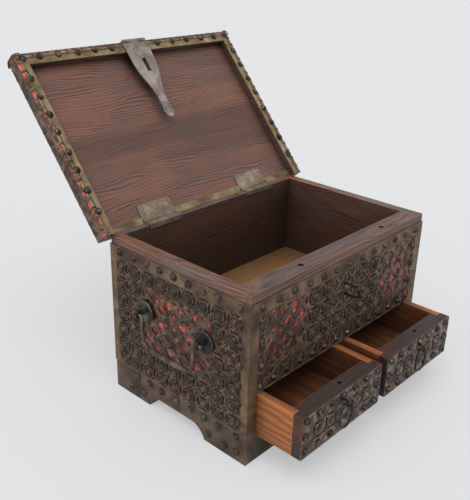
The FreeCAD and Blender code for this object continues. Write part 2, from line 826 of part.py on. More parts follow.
relief_depth = knuckle + part_clear - size("lid_gap") / 2
relief_half = leaf_half + part_clear * 2
reliefs = [box("relief_%d" % index, side * hinge_x - relief_half, axis_y - knuckle - part_clear,
               panel_bottom, relief_half * 2, knuckle * 2 + part_clear * 2, relief_depth)
           for index, side in enumerate((-1, 1))]
slab = box("panel_slab", -lid_outer_x, lid_outer_y, panel_bottom, lid_outer_x * 2,
           lid_rear - lid_outer_y, "panel_thick")
swing(node("lid_panel", cut("lid_panel", slab, fuse("panel_reliefs", reliefs))))


def moulding(name, side, thick, base, inner_x, inner_y, outer_x, outer_y):
    """A side strip of the lid's edge in plan, mitred at the front corner."""
    body = new_body(name)
    outline = [
        (side * inner_x, lid_rear),
        (side * inner_x, inner_y),
        (side * outer_x, outer_y),
        (side * outer_x, lid_rear),
    ]
    pad(body, name + "_pad", sketch(body, name + "_plan", "XY_Plane", [outline], base), thick)
    return swing(node(name, body))


def front_moulding(name, thick, base, inner_x, inner_y, outer_x, outer_y):
    body = new_body(name)
    outline = [(-outer_x, outer_y), (outer_x, outer_y), (inner_x, inner_y), (-inner_x, inner_y)]
    pad(body, name + "_pad", sketch(body, name + "_plan", "XY_Plane", [outline], base), thick)
    return swing(node(name, body))


mould = (size("mould_drop"), mould_bottom, lid_inner_x, lid_inner_y, lid_outer_x, lid_outer_y)
moulding("lid_left_moulding", -1, *mould)
moulding("lid_right_moulding", 1, *mould)
front_moulding("lid_front_moulding", *mould)
strip = (edge_strip, mould_bottom - edge_strip, lid_inner_x, lid_inner_y, lid_outer_x + lid_sheet,
         lid_outer_y - lid_sheet)
moulding("lid_left_strip", -1, *strip)
moulding("lid_right_strip", 1, *strip)
front_moulding("lid_front_strip", *strip)

# The strip along the rear edge is notched round the hinges and stays whole behind them.
body = new_body("lid_rear_strip")
strip_front = lid_rear - "rear_strip_width"
strip_rear = lid_rear - edge_strip
notch = axis_y + knuckle + part_clear
outline = [(-lid_inner_x, strip_rear), (-lid_inner_x, strip_front)]
for side in (-1, 1):
    outline += [
        (side * hinge_x - relief_half, strip_front),
        (side * hinge_x - relief_half, notch),
        (side * hinge_x + relief_half, notch),
        (side * hinge_x + relief_half, strip_front),
    ]
outline += [(lid_inner_x, strip_front), (lid_inner_x, strip_rear)]
pad(body, "lid_rear_strip_pad", sketch(body, "lid_rear_strip_plan", "XY_Plane", [outline], panel_bottom - edge_strip),
    edge_strip)
swing(node("lid_rear_strip", body))

# The cover sheet lies on the panel and folds down over the three mouldings in a hollow roll.
roll_out = size("lid_roll")
cover_x = lid_outer_x + lid_sheet + roll_out
cover_y = lid_outer_y - lid_sheet - roll_out
cover_top = panel_top + lid_sheet
block = box("cover_block", -cover_x, cover_y, mould_bottom, cover_x * 2, lid_rear - cover_y, cover_top - mould_bottom)


def on_roll(edge):
    """Rounding of an edge of the cover's block: none at the rear and inside."""
    middle = edge.CenterOfMass
    at_side = abs(abs(middle.x) - number(cover_x)) < 0.01
    at_front = abs(middle.y - number(cover_y)) < 0.01
    if not at_side and not at_front:
        return 0.0
    if abs(middle.z - number(cover_top)) < 0.01:
        return number("lid_roll_top")
    at_foot = abs(middle.z - number(mould_bottom)) < 0.01
    return number("lid_roll") if at_foot or (at_side and at_front) else 0.0


doc.recompute()
rounded = doc.addObject("Part::Fillet", "cover_rounded")
rounded.Base = block
rounded.Edges = [(index, on_roll(edge), on_roll(edge))
                 for index, edge in enumerate(block.Shape.Edges, start=1) if on_roll(edge)]
core = box("cover_core", -lid_outer_x, lid_outer_y, mould_bottom, lid_outer_x * 2,
           lid_rear - lid_outer_y, panel_top - mould_bottom)
hollow_low = mould_bottom + roll_out + part_clear
wall = lid_sheet * 1.5
hollow = box("cover_hollow", -cover_x + wall, cover_y + wall, hollow_low, (cover_x - wall) * 2,
             lid_rear - cover_y - wall, cover_top - size("lid_roll_top") + lid_sheet - hollow_low)
swing(node("lid_cover_sheet", cut("lid_cover_sheet", rounded, fuse("cover_inside", [core, hollow]))))


def hinge(name, side):
    """A butt hinge: the body leaf turns down inside the back board, the lid leaf is rounded."""
    middle = side * hinge_x
    outer_length = leaf_half - middle_half - part_clear
    edge = axis_y - knuckle - part_clear
    bore_radius = size("hinge_pin_dia") / 2 + fit_clear
    leaf = size("leaf_thick")
    lip = size("leaf_lip")
    plate = box(name + "_rim_plate", middle - leaf_half, back_inner - leaf, top, leaf_half * 2,
                edge - back_inner + leaf, leaf)
    turned_down = box(name + "_lip", middle - leaf_half, back_inner - leaf, top - lip, leaf_half * 2, leaf, lip)
    pieces = [plate, turned_down]
    for end, low in (("a", middle - leaf_half), ("b", middle + middle_half + part_clear)):
        pieces.append(box(name + "_tongue_" + end, low, edge, top, outer_length, axis_y - edge, leaf))
        pieces.append(rod(name + "_knuckle_" + end, low, axis_y, axis_z, knuckle, outer_length, "x"))
    hole = rod(name + "_bore", middle - leaf_half, axis_y, axis_z, bore_radius, leaf_half * 2, "x")
    node(name + "_body_leaf", cut(name + "_body_leaf", fuse(name + "_body_fused", pieces), hole))
    body = new_body(name + "_lid_plate")
    reach = axis_y - "leaf_reach"
    corner = size("leaf_corner")
    outline = [
        (middle - leaf_half, edge),
        (middle - leaf_half, reach + corner),
        (middle - leaf_half + corner, reach, corner, 1),
        (middle + leaf_half - corner, reach),
        (middle + leaf_half, reach + corner, corner, 1),
        (middle + leaf_half, edge),
        (middle + middle_half, edge),
        (middle + middle_half, axis_y),
        (middle - middle_half, axis_y),
        (middle - middle_half, edge),
    ]
    pad(body, name + "_lid_pad", sketch(body, name + "_lid_plan", "XY_Plane", [outline], panel_bottom - leaf), leaf)
    roll = rod(name + "_knuckle_m", middle - middle_half, axis_y, axis_z, knuckle, middle_half * 2, "x")
    hole = rod(name + "_bore_m", middle - leaf_half, axis_y, axis_z, bore_radius, leaf_half * 2, "x")
    swing(node(name + "_lid_leaf", cut(name + "_lid_leaf", fuse(name + "_lid_fused", [body, roll]), hole)))


hinge("left_hinge", -1)
hinge("right_hinge", 1)

pin = rod("hinge_pin", -leaf_half, 0, 0, size("hinge_pin_dia") / 2, leaf_half * 2, "x")
copies("hinge_pins", pin, [Placement(Vector(side * number(hinge_x), number(axis_y), number(axis_z)), Rotation())
                           for side in (-1, 1)])

# Hasp. Its strap sits on the front moulding with two knuckles below the lid's edge, so the hasp
# folds flat against the strip when the lid is open.
roller = size("hasp_knuckle_dia") / 2
hasp_y = lid_outer_y - lid_sheet - part_clear - roller
neck_half = size("hasp_neck") / 2
strap_half = size("strap_width") / 2
strap_knuckle = strap_half - neck_half - part_clear
hasp_pin = size("hasp_pin_dia") / 2
strap_face = cover_y
strap_low = hasp_axis_z + roller + part_clear
pieces = [box("strap_plate", -strap_half, strap_face - "strap_thick", strap_low, strap_half * 2, "strap_thick",
              "strap_rise")]
for index, low in enumerate((-strap_half, neck_half + part_clear)):
    pieces.append(box("strap_tongue_%d" % index, low, strap_face - "strap_thick", hasp_axis_z, strap_knuckle,
                      "strap_thick", roller + part_clear))
    pieces.append(rod("strap_knuckle_%d" % index, low, hasp_y, hasp_axis_z, roller, strap_knuckle, "x"))
hole = rod("strap_bore", -strap_half, hasp_y, hasp_axis_z, hasp_pin + fit_clear, strap_half * 2, "x")
swing(node("hasp_strap", cut("hasp_strap", fuse("strap_fused", pieces), hole)))
body = new_body("hasp_pin")
straight_bar(body, "hasp_pin_bar", "YZ_Plane", -strap_half, (hasp_y, hasp_axis_z), hasp_pin, strap_half * 2)
swing(node("hasp_pin", body))

# The hasp is modelled hanging plumb from its axis. Its plate narrows to a waist and flares at the
# tip, with a ridge down the middle, raised like a low roof on the side that faces out.
body = new_body("hasp_plate")
shoulder = roller + part_clear * 2
HASP_SHARES = [(0.27, 0.94), (0.40, 0.84)]
length = size("hasp_length")
wide = size("hasp_top") / 2
waist = size("hasp_waist") / 2
tip = size("hasp_tip") / 2
right = [
    (neck_half, 0),
    (neck_half, -shoulder),
    (wide, -shoulder),
    (wide * HASP_SHARES[0][1], -length * HASP_SHARES[0][0]),
    (wide * HASP_SHARES[1][1], -length * HASP_SHARES[1][0]),
    (waist * 1.5, -length * 0.6),
    (waist, -length * 0.74),
    (waist, -length * 0.86),
    (tip, -length * 0.93),
    (tip * 0.7, -length * 0.96),
    (tip * 0.5, -length * 0.99),
    (0, -length),
]
outline = right + [(-x, z) for x, z in reversed(right[:-1])]
pad(body, "hasp_sheet", sketch(body, "hasp_outline", "XZ_Plane", [outline], -size("hasp_thick") / 2), "hasp_thick")
slot_half = size("slot_long") / 2


def roof(z, half, drop):
    """One cross-section of the ridge at a height, as a flat triangle in plan."""
    y = -number(size("hasp_thick") / 2)
    return [Vector(-half, y, z), Vector(half, y, z), Vector(0, y - number("hasp_ridge") * drop, z)]


ROOF_SHARES = [(0.05, 0.92, 0.55), (0.40, 0.80, 1.0), (0.60, 0.36, 1.1), (0.75, 0.25, 1.0), (0.94, 0.25, 0.7)]
sections = [roof(-number(length) * down, number(wide) * across, drop) for down, across, drop in ROOF_SHARES]
ridge = doc.addObject("Part::Feature", "hasp_ridge_roof")
ridge.Shape = skin(sections, False)
roll = rod("hasp_knuckle", -neck_half, 0, 0, roller, neck_half * 2, "x")
solid = fuse("hasp_fused", [body, ridge, roll])
hole = rod("hasp_bore", -strap_half, 0, 0, hasp_pin + fit_clear, strap_half * 2, "x")
slot_cut = box("hasp_slot", -size("slot_wide") / 2, -size("hasp_thick") * 3, -size("slot_place") - slot_half,
               "slot_wide", size("hasp_thick") * 6, "slot_long")
hasp = cut("hasp", solid, fuse("hasp_cuts", [hole, slot_cut]))
fold = Placement(Vector(0, number(hasp_y), number(hasp_axis_z)),
                 Rotation(Vector(1, 0, 0), 90 + number("hasp_tilt")))
hasp.Placement = LID_SWING.multiply(fold)
node("hasp", hasp)

# Drawers. Each is modelled shut and then pulled out along -Y.
opening_width = inner - size("divider_thick") / 2
drawer_half = opening_width / 2 - "drawer_clear"
drawer_low = opening_bottom + part_clear
drawer_high = opening_top - "drawer_top_clear"
drawer_rise = drawer_high - drawer_low
inside_half = drawer_half - "drawer_side"
seat = size("drawer_bottom")
pull_radius = size("pull_dia") / 2
pull_half = size("pull_inside") / 2 + pull_radius
ring_wire = size("ring_dia") / 2
ring_y = -sheet_thick - "ring_gap" - ring_wire
ring_z = size("ring_top") - drawer_low


def drawer(name, side):
    middle = side * drawer_x
    shift = front - "drawer_out"

    def place(thing, x, y, z):
        put(thing, middle + x, shift + y, drawer_low + z)
        return thing

    holes = [(0, ring_z + half * pull_half, pull_radius + fit_clear) for half in (-1, 1)]
    # The front board has a rabbet round its back that takes the sides and the bottom.
    body = new_body(name + "_front")
    face = rectangle(-drawer_half, 0, drawer_half, drawer_rise)
    pad(body, name + "_front_lap", sketch(body, name + "_front_face", "XZ_Plane", [face] + holes),
        "front_lap", True)
    tongue = rectangle(-inside_half, seat, inside_half, drawer_rise)
    pad(body, name + "_front_tongue",
        sketch(body, name + "_front_inner", "XZ_Plane", [tongue] + holes, -size("front_lap")),
        "front_tongue", True)
    hole = sketch(body, name + "_lock_round", "XY_Plane",
                  [("pin_offset", size("pin_hole_inset"), size("lock_hole_dia") / 2)], drawer_rise)
    pocket(body, name + "_lock_hole", hole, "lock_hole_depth")
    node(name + "_front", place(body, 0, 0, 0))
    back_y = size("drawer_length")
    lap = size("front_lap")
    for label, x in (("_left_side", -drawer_half), ("_right_side", inside_half)):
        piece = box(name + label, 0, 0, 0, "drawer_side", back_y - lap, drawer_rise - seat)
        node(name + label, place(piece, x, lap, seat))
    piece = box(name + "_back", 0, 0, 0, inside_half * 2, "drawer_back",
                drawer_rise - seat - "drawer_back_drop")
    node(name + "_back", place(piece, -inside_half, back_y - "drawer_back", seat))
    piece = box(name + "_bottom", 0, 0, 0, drawer_half * 2, back_y - lap, seat)
    node(name + "_bottom", place(piece, -drawer_half, lap, 0))
    body = new_body(name + "_face_sheet")
    pad(body, name + "_face_pad", sketch(body, name + "_face_outline", "XZ_Plane", [face] + holes), sheet_thick)
    node(name + "_face_sheet", place(body, 0, 0, 0))
    # The pull's staple is a wire bent round the ring, with both legs through the front board.
    pull = staple(name + "_pull_staple", pull_radius, pull_half, -ring_y, lap + "front_tongue")
    node(name + "_pull_staple", place(pull, 0, 0, ring_z))
    # The ring hangs from the staple, flat to the face.
    reach = number(size("ring_width") / 2 - ring_wire)
    straight = number(size("ring_height") - size("ring_width"))
    wire = number(ring_wire)
    stations = bend(0.0, -reach, reach, 180, 0, wire, 10) + bend(0.0, -reach - straight, reach, 0, -180, wire, 10)
    ring = forged(name + "_ring", stations, 8, True, UPRIGHT_FRONT)
    node(name + "_ring", place(ring, 0, ring_y, ring_z))


drawer("left_drawer", -1)
drawer("right_drawer", 1)

# Build, check every object and write one file per piece.
doc.recompute()
faults = [thing.Name for thing in doc.Objects if "Invalid" in thing.State or "Error" in thing.State]
if faults:
    raise RuntimeError("not built: " + ", ".join(faults))
faults = [name for name, thing in NODES.items() if thing.Shape.isNull() or not thing.Shape.isValid()]
if faults:
    raise RuntimeError("no valid shape: " + ", ".join(faults))
for name, thing in NODES.items():
    thing.Shape.exportStep("parts/%s.step" % name)
print(len(NODES), "pieces")
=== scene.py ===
"""Looks of the arabic dowry chest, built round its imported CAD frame."""

import json
import math
import random

import bmesh
import bpy
from bpy.props import FloatProperty, FloatVectorProperty, PointerProperty
from bpy.types import Operator, Panel, PropertyGroup
from mathutils import Matrix, Vector


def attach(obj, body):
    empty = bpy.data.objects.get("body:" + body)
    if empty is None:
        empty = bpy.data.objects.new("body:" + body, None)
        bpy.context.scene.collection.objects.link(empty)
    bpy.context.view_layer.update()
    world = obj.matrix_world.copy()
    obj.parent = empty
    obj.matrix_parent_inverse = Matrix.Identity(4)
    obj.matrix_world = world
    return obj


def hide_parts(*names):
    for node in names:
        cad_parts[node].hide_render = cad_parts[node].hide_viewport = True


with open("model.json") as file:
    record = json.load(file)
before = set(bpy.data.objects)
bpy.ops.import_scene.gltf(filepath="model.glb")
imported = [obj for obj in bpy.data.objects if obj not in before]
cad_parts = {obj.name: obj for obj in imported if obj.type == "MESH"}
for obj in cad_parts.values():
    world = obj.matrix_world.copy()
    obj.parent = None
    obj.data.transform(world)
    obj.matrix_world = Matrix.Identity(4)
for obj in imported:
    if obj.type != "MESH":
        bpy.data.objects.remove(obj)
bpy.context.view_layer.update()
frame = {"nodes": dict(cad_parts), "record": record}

bl_info = {
    "name": "Arabic dowry chest",
    "version": (1, 0, 0),
    "blender": (4, 5, 0),
    "location": "3D View > Sidebar > Chest",
    "description": "Builds the boards, pierced sheets, studs and fittings of the chest",
    "category": "Object",
}

MM = 0.001
LID_ANGLE = math.radians(130.8)      # the lid leans back this far from closed
HINGE_LINE = Vector((0, 134.35, 250.25)) * MM

# Where the sheets and their pattern lie on the chest, in mm in the row frame
SIDE_FACE, FRONT_FACE = 197.5, 131.25
SHEET = 1.3                          # thickness of the pierced sheet
ON_SHEET = 1.7                       # foot of a nail, out from the board
NAILS_FROM = 133.75                  # the nails of the ends are counted back from here
END_HALF, END_FOOT, FIELD_TOP = 121.25, 46, 218
FRONT_FOOT, FRONT_LATTICE_FOOT = 105.5, 133.6
FRONT_MIDDLE, FRONT_LATTICE_END, FRONT_END = 84, 168, 182
LID_HALF, LID_FRONT, LID_BACK, LID_TOP = 208.5, -143.5, 140.55, 264.2
DRAWER_MIDDLE, DRAWER_HALF, DRAWER_FRONT = 94.5, 86.9, 206.25
HINGE_MIDDLE = 104

UNDER, OVER = 6, 7                   # the two colour inputs of a Mix node
OPENING = 1                          # material index that marks a face to be cut out of a sheet


# Colours and sizes

def linear(code):
    """A colour written as sRGB hex, as the linear values that Blender mixes."""
    parts = [int(code[i:i + 2], 16) / 255 for i in (0, 2, 4)]
    return tuple(c / 12.92 if c <= 0.04045 else ((c + 0.055) / 1.055) ** 2.4 for c in parts) + (1.0,)


def shades(codes):
    """Several such colours, written side by side."""
    return [linear(code) for code in codes.split()]


def colour(name, description, code):
    return FloatVectorProperty(name=name, description=description, default=linear(code),
                               size=4, min=0, max=1, subtype="COLOR")


def length(name, description, mm):
    return FloatProperty(name=name, description=description, default=mm * MM, min=0,
                         unit="LENGTH", subtype="DISTANCE")


class ChestColours(PropertyGroup):
    wood_light: colour("Rosewood, light", "Pale streaks of the lid and boards", "94664F")
    wood_mid: colour("Rosewood, middle", "Ground colour of the lid and boards", "714D41")
    wood_dark: colour("Rosewood, veins", "Dark veins of the lid and boards", "3C2620")
    wood_grey: colour("Rosewood, grey", "Where the wax has worn off", "5F5150")
    teak_light: colour("Drawer wood, light", "Pale streaks of the drawers", "DC8A42")
    teak_mid: colour("Drawer wood, middle", "Ground colour of the drawers", "B76C32")
    teak_dark: colour("Drawer wood, veins", "Dark veins of the drawers", "84502A")
    iron_dark: colour("Pierced sheet, black", "Blackened hollows of the pierced sheet", "33251E")
    iron_mid: colour("Pierced sheet, middle", "Ground colour of the pierced sheet", "685041")
    # also painted on the edges of the sheet, for wear and as a highlight
    iron_worn: colour("Pierced sheet, worn", "Rubbed high places of the pierced sheet", "937861")
    brass_dark: colour("Brass, tarnish", "Tarnish on the brass strips", "6A5840")
    brass_mid: colour("Brass, middle", "Ground colour of the brass strips", "957F5C")
    # also painted on the edges of the strips, for wear and as a highlight
    brass_worn: colour("Brass, worn", "Rubbed places on the brass strips", "B8A67E")
    foil_red: colour("Foil, red", "Bright places of the red foil", "CC5244")
    foil_dark: colour("Foil, dark", "Dulled places of the red foil", "46271F")
    background: colour("Background", "Floor and backdrop", "EBECEE")


class ChestSizes(PropertyGroup):
    stud: length("Stud", "Width of a dome-headed nail", 12.4)
    stud_rise: length("Stud rise", "Height of a dome-headed nail", 4.4)
    board_edge: length("Board edge", "Worn round on the edges of the boards", 0.9)
    metal_edge: length("Metal edge", "Worn round on the edges of the strips", 0.35)


# Nodes and finishes

FINISHES = {}


def add(tree, kind, inputs=None, stops=None, **settings):
    """Adds one node with its settings, ramp stops and inputs; an input is a value, a node or a socket."""
    node = tree.nodes.new("ShaderNode" + kind)
    for name, value in settings.items():
        setattr(node, name, value)
    if stops:
        ramp = node.color_ramp.elements
        while len(ramp) < len(stops):
            ramp.new(0.5)
        for element, (place, shade) in zip(ramp, stops):
            element.position = place
            element.color = shade
    for name, value in (inputs or {}).items():
        if isinstance(name, int):
            socket = node.inputs[name]
        else:
            socket = next(s for s in node.inputs if s.enabled and s.name == name)
        if isinstance(value, bpy.types.Node):
            value = next(s for s in value.outputs if s.enabled)
        if isinstance(value, bpy.types.NodeSocket):
            tree.links.new(value, socket)
        else:
            socket.default_value = value
    return node


def start(name):
    """The emptied node tree of a new finish, and the piece's own coordinates."""
    material = FINISHES[name] = bpy.data.materials.new(name)
    material.use_nodes = True
    tree = material.node_tree
    tree.nodes.clear()
    return tree, add(tree, "TexCoord").outputs["Object"]


def finish(tree, **inputs):
    """The surface shader and the output."""
    shader = add(tree, "BsdfPrincipled", {name.replace("_", " "): value for name, value in inputs.items()})
    add(tree, "OutputMaterial", {"Surface": shader})


def seen_direct(tree):
    """1 for the camera, reflections and glass, 0 for the light that falls on things."""
    ray = add(tree, "LightPath").outputs
    seen = add(tree, "Math", {0: ray["Is Camera Ray"], 1: ray["Is Glossy Ray"]}, operation="MAXIMUM")
    return add(tree, "Math", {0: seen, 1: ray["Is Transmission Ray"]}, operation="MAXIMUM")


def edge_rub_and_highlight(tree, radius):
    """1 on edges, 0 on flats: the rounded normal leaves the true one near an edge. The edges are painted
    lighter, for rubbed wear and as a painted highlight.
    """
    rounded = add(tree, "Bevel", {"Radius": radius}, samples=4)
    true = add(tree, "NewGeometry").outputs["Normal"]
    match = add(tree, "VectorMath", {0: rounded, 1: true}, operation="DOT_PRODUCT").outputs["Value"]
    return add(tree, "MapRange", {"Value": match, "From Min": 0.995, "From Max": 0.90})


def layered(tree, tone, *layers):
    """Lays shades over a tone. Each grows as its noise runs from one value to another, up to a share."""
    for noise, first, second, share, shade in layers:
        cover = add(tree, "MapRange", {"Value": noise, "From Min": first, "From Max": second,
                                       "To Max": share})
        tone = add(tree, "Mix", {"Factor": cover, UNDER: tone, OVER: shade}, data_type="RGBA")
    return tone


def wood(name, along, across, light, mid, dark, grey, worn, greying=0.35, gloss=0.5, red="8A5A4C",
         ring=4.6):
    """Sawn and waxed board, grain along axis 0, 1 or 2. Its rings follow one another in the direction
    across, ring mm apart."""
    tree, place = start(name)

    def grain(long, wide):
        scale = [1 / (wide * MM)] * 3
        scale[along] = 1 / (long * MM)
        return add(tree, "Mapping", {"Vector": place, "Scale": scale}, vector_type="POINT")

    # growth rings: straight lines that a slow figure moves aside by up to 48 mm
    sway = 48
    figure = add(tree, "TexNoise", {"Vector": grain(240, 66), "Scale": 1, "Detail": 3, "Roughness": 0.48})
    run = add(tree, "VectorMath", {0: place, 1: across}, operation="DOT_PRODUCT").outputs["Value"]
    shift = add(tree, "Math", {0: figure, 1: sway / ring}, operation="MULTIPLY")
    lines = add(tree, "Math", {0: run, 1: 1 / (ring * MM), 2: shift}, operation="MULTIPLY_ADD")
    rings = add(tree, "Math", {0: lines, 1: 0.5}, operation="PINGPONG")
    # streaks 2 mm wide and 60 mm long, open pores, worn patches and bands of dark heartwood
    streaks = add(tree, "TexNoise", {"Vector": grain(60, 2.2), "Scale": 1, "Detail": 5, "Roughness": 0.6})
    pores = add(tree, "TexNoise", {"Vector": grain(9, 0.55), "Scale": 1, "Detail": 1})
    patches = add(tree, "TexNoise", {"Vector": grain(110, 30), "Scale": 1, "Detail": 3})
    bands = add(tree, "TexNoise", {"Vector": grain(900, 60), "Scale": 1, "Detail": 1})

    tone = add(tree, "ValToRGB", {"Fac": rings}, stops=[(0, dark), (0.17, mid), (0.5, light)])
    tone = layered(tree, tone,
                   (streaks, 0.44, 0.72, 0.6, mid),
                   (streaks, 0.52, 0.32, 0.5, dark),
                   (patches, 0.50, 0.34, 0.6, linear(red)),
                   (patches, 0.50, 0.68, greying, grey),
                   (bands, 0.54, 0.64, 0.45, dark),
                   (pores, 0.36, 0.28, 0.5, dark))
    # edges in the worn colour: rubbed wear, and a painted highlight where the edges catch the light
    edges = add(tree, "Math", {0: edge_rub_and_highlight(tree, 2.2 * MM), 1: 0.7}, operation="MULTIPLY")
    tone = add(tree, "Mix", {"Factor": edges, UNDER: tone, OVER: worn}, data_type="RGBA")
    # painted shade: the inside of the box and of the drawers is darkened where ambient occlusion within 300
    # mm finds walls close by
    depth = add(tree, "AmbientOcclusion", {"Distance": 300 * MM}, samples=8)
    inside = add(tree, "MapRange", {"Value": depth.outputs["AO"], "From Min": 0.78, "From Max": 0.27,
                                    "To Min": 1.0, "To Max": 0.22})
    tone = add(tree, "Mix", {"Factor": 1, UNDER: tone, OVER: inside}, data_type="RGBA",
               blend_type="MULTIPLY")
    rough = add(tree, "MapRange", {"Value": streaks, "From Min": 0.3, "From Max": 0.7,
                                   "To Min": gloss + 0.12, "To Max": gloss - 0.08})
    height = add(tree, "Math", {0: streaks, 1: pores}, operation="ADD")
    bump = add(tree, "Bump", {"Height": height, "Strength": 0.35, "Distance": 0.4 * MM})
    finish(tree, Base_Color=tone, Roughness=rough, Normal=bump)


def metal(name, dark, mid, worn, blotch, metallic, rough, dents=0.3, wear_and_highlight_share=0.8, tint=None, speck=0.7,
          hollow_dirt_and_shade=0.75, stops=(0.36, 0.52, 0.70)):
    """Old sheet or forged metal: tarnish in blotches (size in mm), fine specks, rubbed edges painted
    lighter, partly as a painted highlight, and dirt with painted shade darkening the hollows."""
    tree, place = start(name)
    blotches = add(tree, "TexNoise", {"Vector": place, "Scale": 1 / (blotch * MM), "Detail": 6,
                                      "Roughness": 0.62, "Distortion": 0.4})
    speckle = add(tree, "TexNoise", {"Vector": place, "Scale": 1 / (1.6 * MM), "Detail": 2})
    base = add(tree, "ValToRGB", {"Fac": blotches}, stops=list(zip(stops, (dark, mid, worn))))
    tone = layered(tree, base, (speckle, 0.48, 0.30, speck, dark))
    if tint:
        cloud = add(tree, "TexNoise", {"Vector": place, "Scale": 1 / (31 * MM), "Detail": 3})
        tone = layered(tree, tone, (cloud, 0.50, 0.66, 0.45, linear(tint)))
    # edges in the worn colour: rubbed wear and a painted highlight
    edges = add(tree, "Math", {0: edge_rub_and_highlight(tree, 0.9 * MM), 1: wear_and_highlight_share}, operation="MULTIPLY")
    tone = add(tree, "Mix", {"Factor": edges, UNDER: tone, OVER: worn}, data_type="RGBA")
    # painted shade: darker in hollows where ambient occlusion within 4 mm is low, standing also for dirt
    # there
    hollow = add(tree, "AmbientOcclusion", {"Distance": 4 * MM}, samples=6)
    dirt_and_painted_shade = add(tree, "MapRange", {"Value": hollow.outputs["AO"], "From Min": 0.85, "From Max": 0.35,
                                  "To Max": hollow_dirt_and_shade})
    tone = add(tree, "Mix", {"Factor": dirt_and_painted_shade, UNDER: tone, OVER: dark}, data_type="RGBA")
    gloss = add(tree, "MapRange", {"Value": blotches, "From Min": 0.35, "From Max": 0.7,
                                   "To Min": rough + 0.15, "To Max": rough - 0.08})
    height = add(tree, "Math", {0: blotches, 1: speckle}, operation="ADD")
    bump = add(tree, "Bump", {"Height": height, "Strength": dents, "Distance": 0.5 * MM})
    finish(tree, Base_Color=tone, Metallic=metallic, Roughness=gloss, Normal=bump)


def coat(finish, *pieces):
    """Gives CAD nodes (by name) or new pieces this finish."""
    for piece in pieces:
        if isinstance(piece, str):
            piece = frame["nodes"][piece]
        if not piece.material_slots:
            piece.data.materials.append(None)
        for entry in piece.material_slots:
            entry.link = "OBJECT"
            entry.material = FINISHES[finish]


# Modelling

BODY_OF = {node: body for body, nodes in frame["record"]["behaviour"]["bodies"].items() for node in nodes}


def only(*pieces):
    """Leaves just these pieces selected, the last one active, in object mode."""
    if bpy.context.object and bpy.context.object.mode != "OBJECT":
        bpy.ops.object.mode_set(mode="OBJECT")
    bpy.ops.object.select_all(action="DESELECT")
    for piece in pieces:
        piece.select_set(True)
    bpy.context.view_layer.objects.active = pieces[-1]


def shape(piece):
    """Opens a piece for editing with nothing selected."""
    only(piece)
    bpy.ops.object.mode_set(mode="EDIT")
    bpy.ops.mesh.select_mode(type="VERT")
    bpy.ops.mesh.select_all(action="DESELECT")


def pick(kind, test):
    """Selects the open piece's faces, edges or corners that pass a test of (part, its middle in mm)."""
    bpy.ops.mesh.select_mode(type=kind)
    bpy.ops.mesh.select_all(action="DESELECT")
    mesh = bmesh.from_edit_mesh(bpy.context.object.data)
    for part in {"VERT": mesh.verts, "EDGE": mesh.edges, "FACE": mesh.faces}[kind]:
        corners = [part] if kind == "VERT" else part.verts
        middle = sum((corner.co for corner in corners), Vector()) / len(corners) / MM
        if test(part, middle):
            part.select_set(True)
    bmesh.update_edit_mesh(bpy.context.object.data)


def settle(piece, place=None):
    """Puts a finished piece in its place and leaves the place in its mesh."""
    only(piece)
    if place:
        piece.matrix_world = place @ piece.matrix_world
    bpy.ops.object.transform_apply(location=True, rotation=True, scale=True)


def modify(piece, kind, **settings):
    """Adds a modifier and applies it."""
    only(piece)
    bpy.ops.object.modifier_add(type=kind)
    modifier = piece.modifiers[-1]
    for name, value in settings.items():
        setattr(modifier, name, value)
    bpy.ops.object.modifier_apply(modifier=modifier.name)


def smooth(piece, angle):
    only(piece)
    bpy.ops.object.shade_smooth_by_angle(angle=math.radians(angle))


def named(name):
    """The piece just made, under its name."""
    piece = bpy.context.object
    piece.name = piece.data.name = name
    return piece


def copies(model, name, places):
    """A small model copied to each place and joined into one piece; each copy has its own mesh."""
    twins = []
    for place in places:
        twin = model.copy()
        twin.data = model.data.copy()
        twin.matrix_world = place
        bpy.context.collection.objects.link(twin)
        twins.append(twin)
    only(*twins)
    if len(twins) > 1:
        bpy.ops.object.join()
    piece = named(name)
    settle(piece)
    return piece


def both(names):
    """The names in a line, each that holds a * spelled out for the left and the right."""
    return [name.replace("*", side) for name in names.split()
            for side in (("left", "right") if "*" in name else ("",))]


def scrap(*models):
    """Removes models once they are copied."""
    for model in models:
        bpy.data.objects.remove(model)


def taken_from(node, name, flats=True):
    """A copy of a CAD piece with its doubles merged and, if asked, its flats whole, under its own name."""
    piece = bpy.data.objects.new(name, frame["nodes"][node].data.copy())
    bpy.context.collection.objects.link(piece)
    piece.data.materials.clear()
    shape(piece)
    bpy.ops.mesh.select_all(action="SELECT")
    bpy.ops.mesh.remove_doubles(threshold=0.01 * MM)
    if flats:
        bpy.ops.mesh.dissolve_limited(angle_limit=math.radians(0.5))
    bpy.ops.object.mode_set(mode="OBJECT")
    return piece


def mount(piece, node, finish, *more):
    """Rides the piece on a node's body in a finish. It stands for that node and any more named, or for
    none where None follows."""
    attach(piece, BODY_OF[node])
    coat(finish, piece)
    if more != (None,):
        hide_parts(node, *more)


# Flat work is drawn with x along the sheet, y up it and z out of it, then turned to its wall.

def wall(along, up, out, origin):
    turn = Matrix((along, up, out)).transposed().to_4x4()
    turn.translation = Vector(origin) * MM
    return turn


X, Y, Z = Vector((1, 0, 0)), Vector((0, 1, 0)), Vector((0, 0, 1))
LEFT = wall(-Y, Z, -X, (-SIDE_FACE, 0, 0))
RIGHT = wall(Y, Z, X, (SIDE_FACE, 0, 0))
FRONT = wall(X, Z, -Y, (0, -FRONT_FACE, 0))
LID = Matrix.Translation(HINGE_LINE) @ Matrix.Rotation(-LID_ANGLE, 4, "X") @ Matrix.Translation(-HINGE_LINE)


def spot(base, along, up, out, size, turn):
    """A place on a wall, in mm, for a copy of a model that stands out of it."""
    return (base @ Matrix.Translation(Vector((along, up, out)) * MM) @ Matrix.Rotation(turn, 4, "Z")
            @ Matrix.Scale(size, 4))


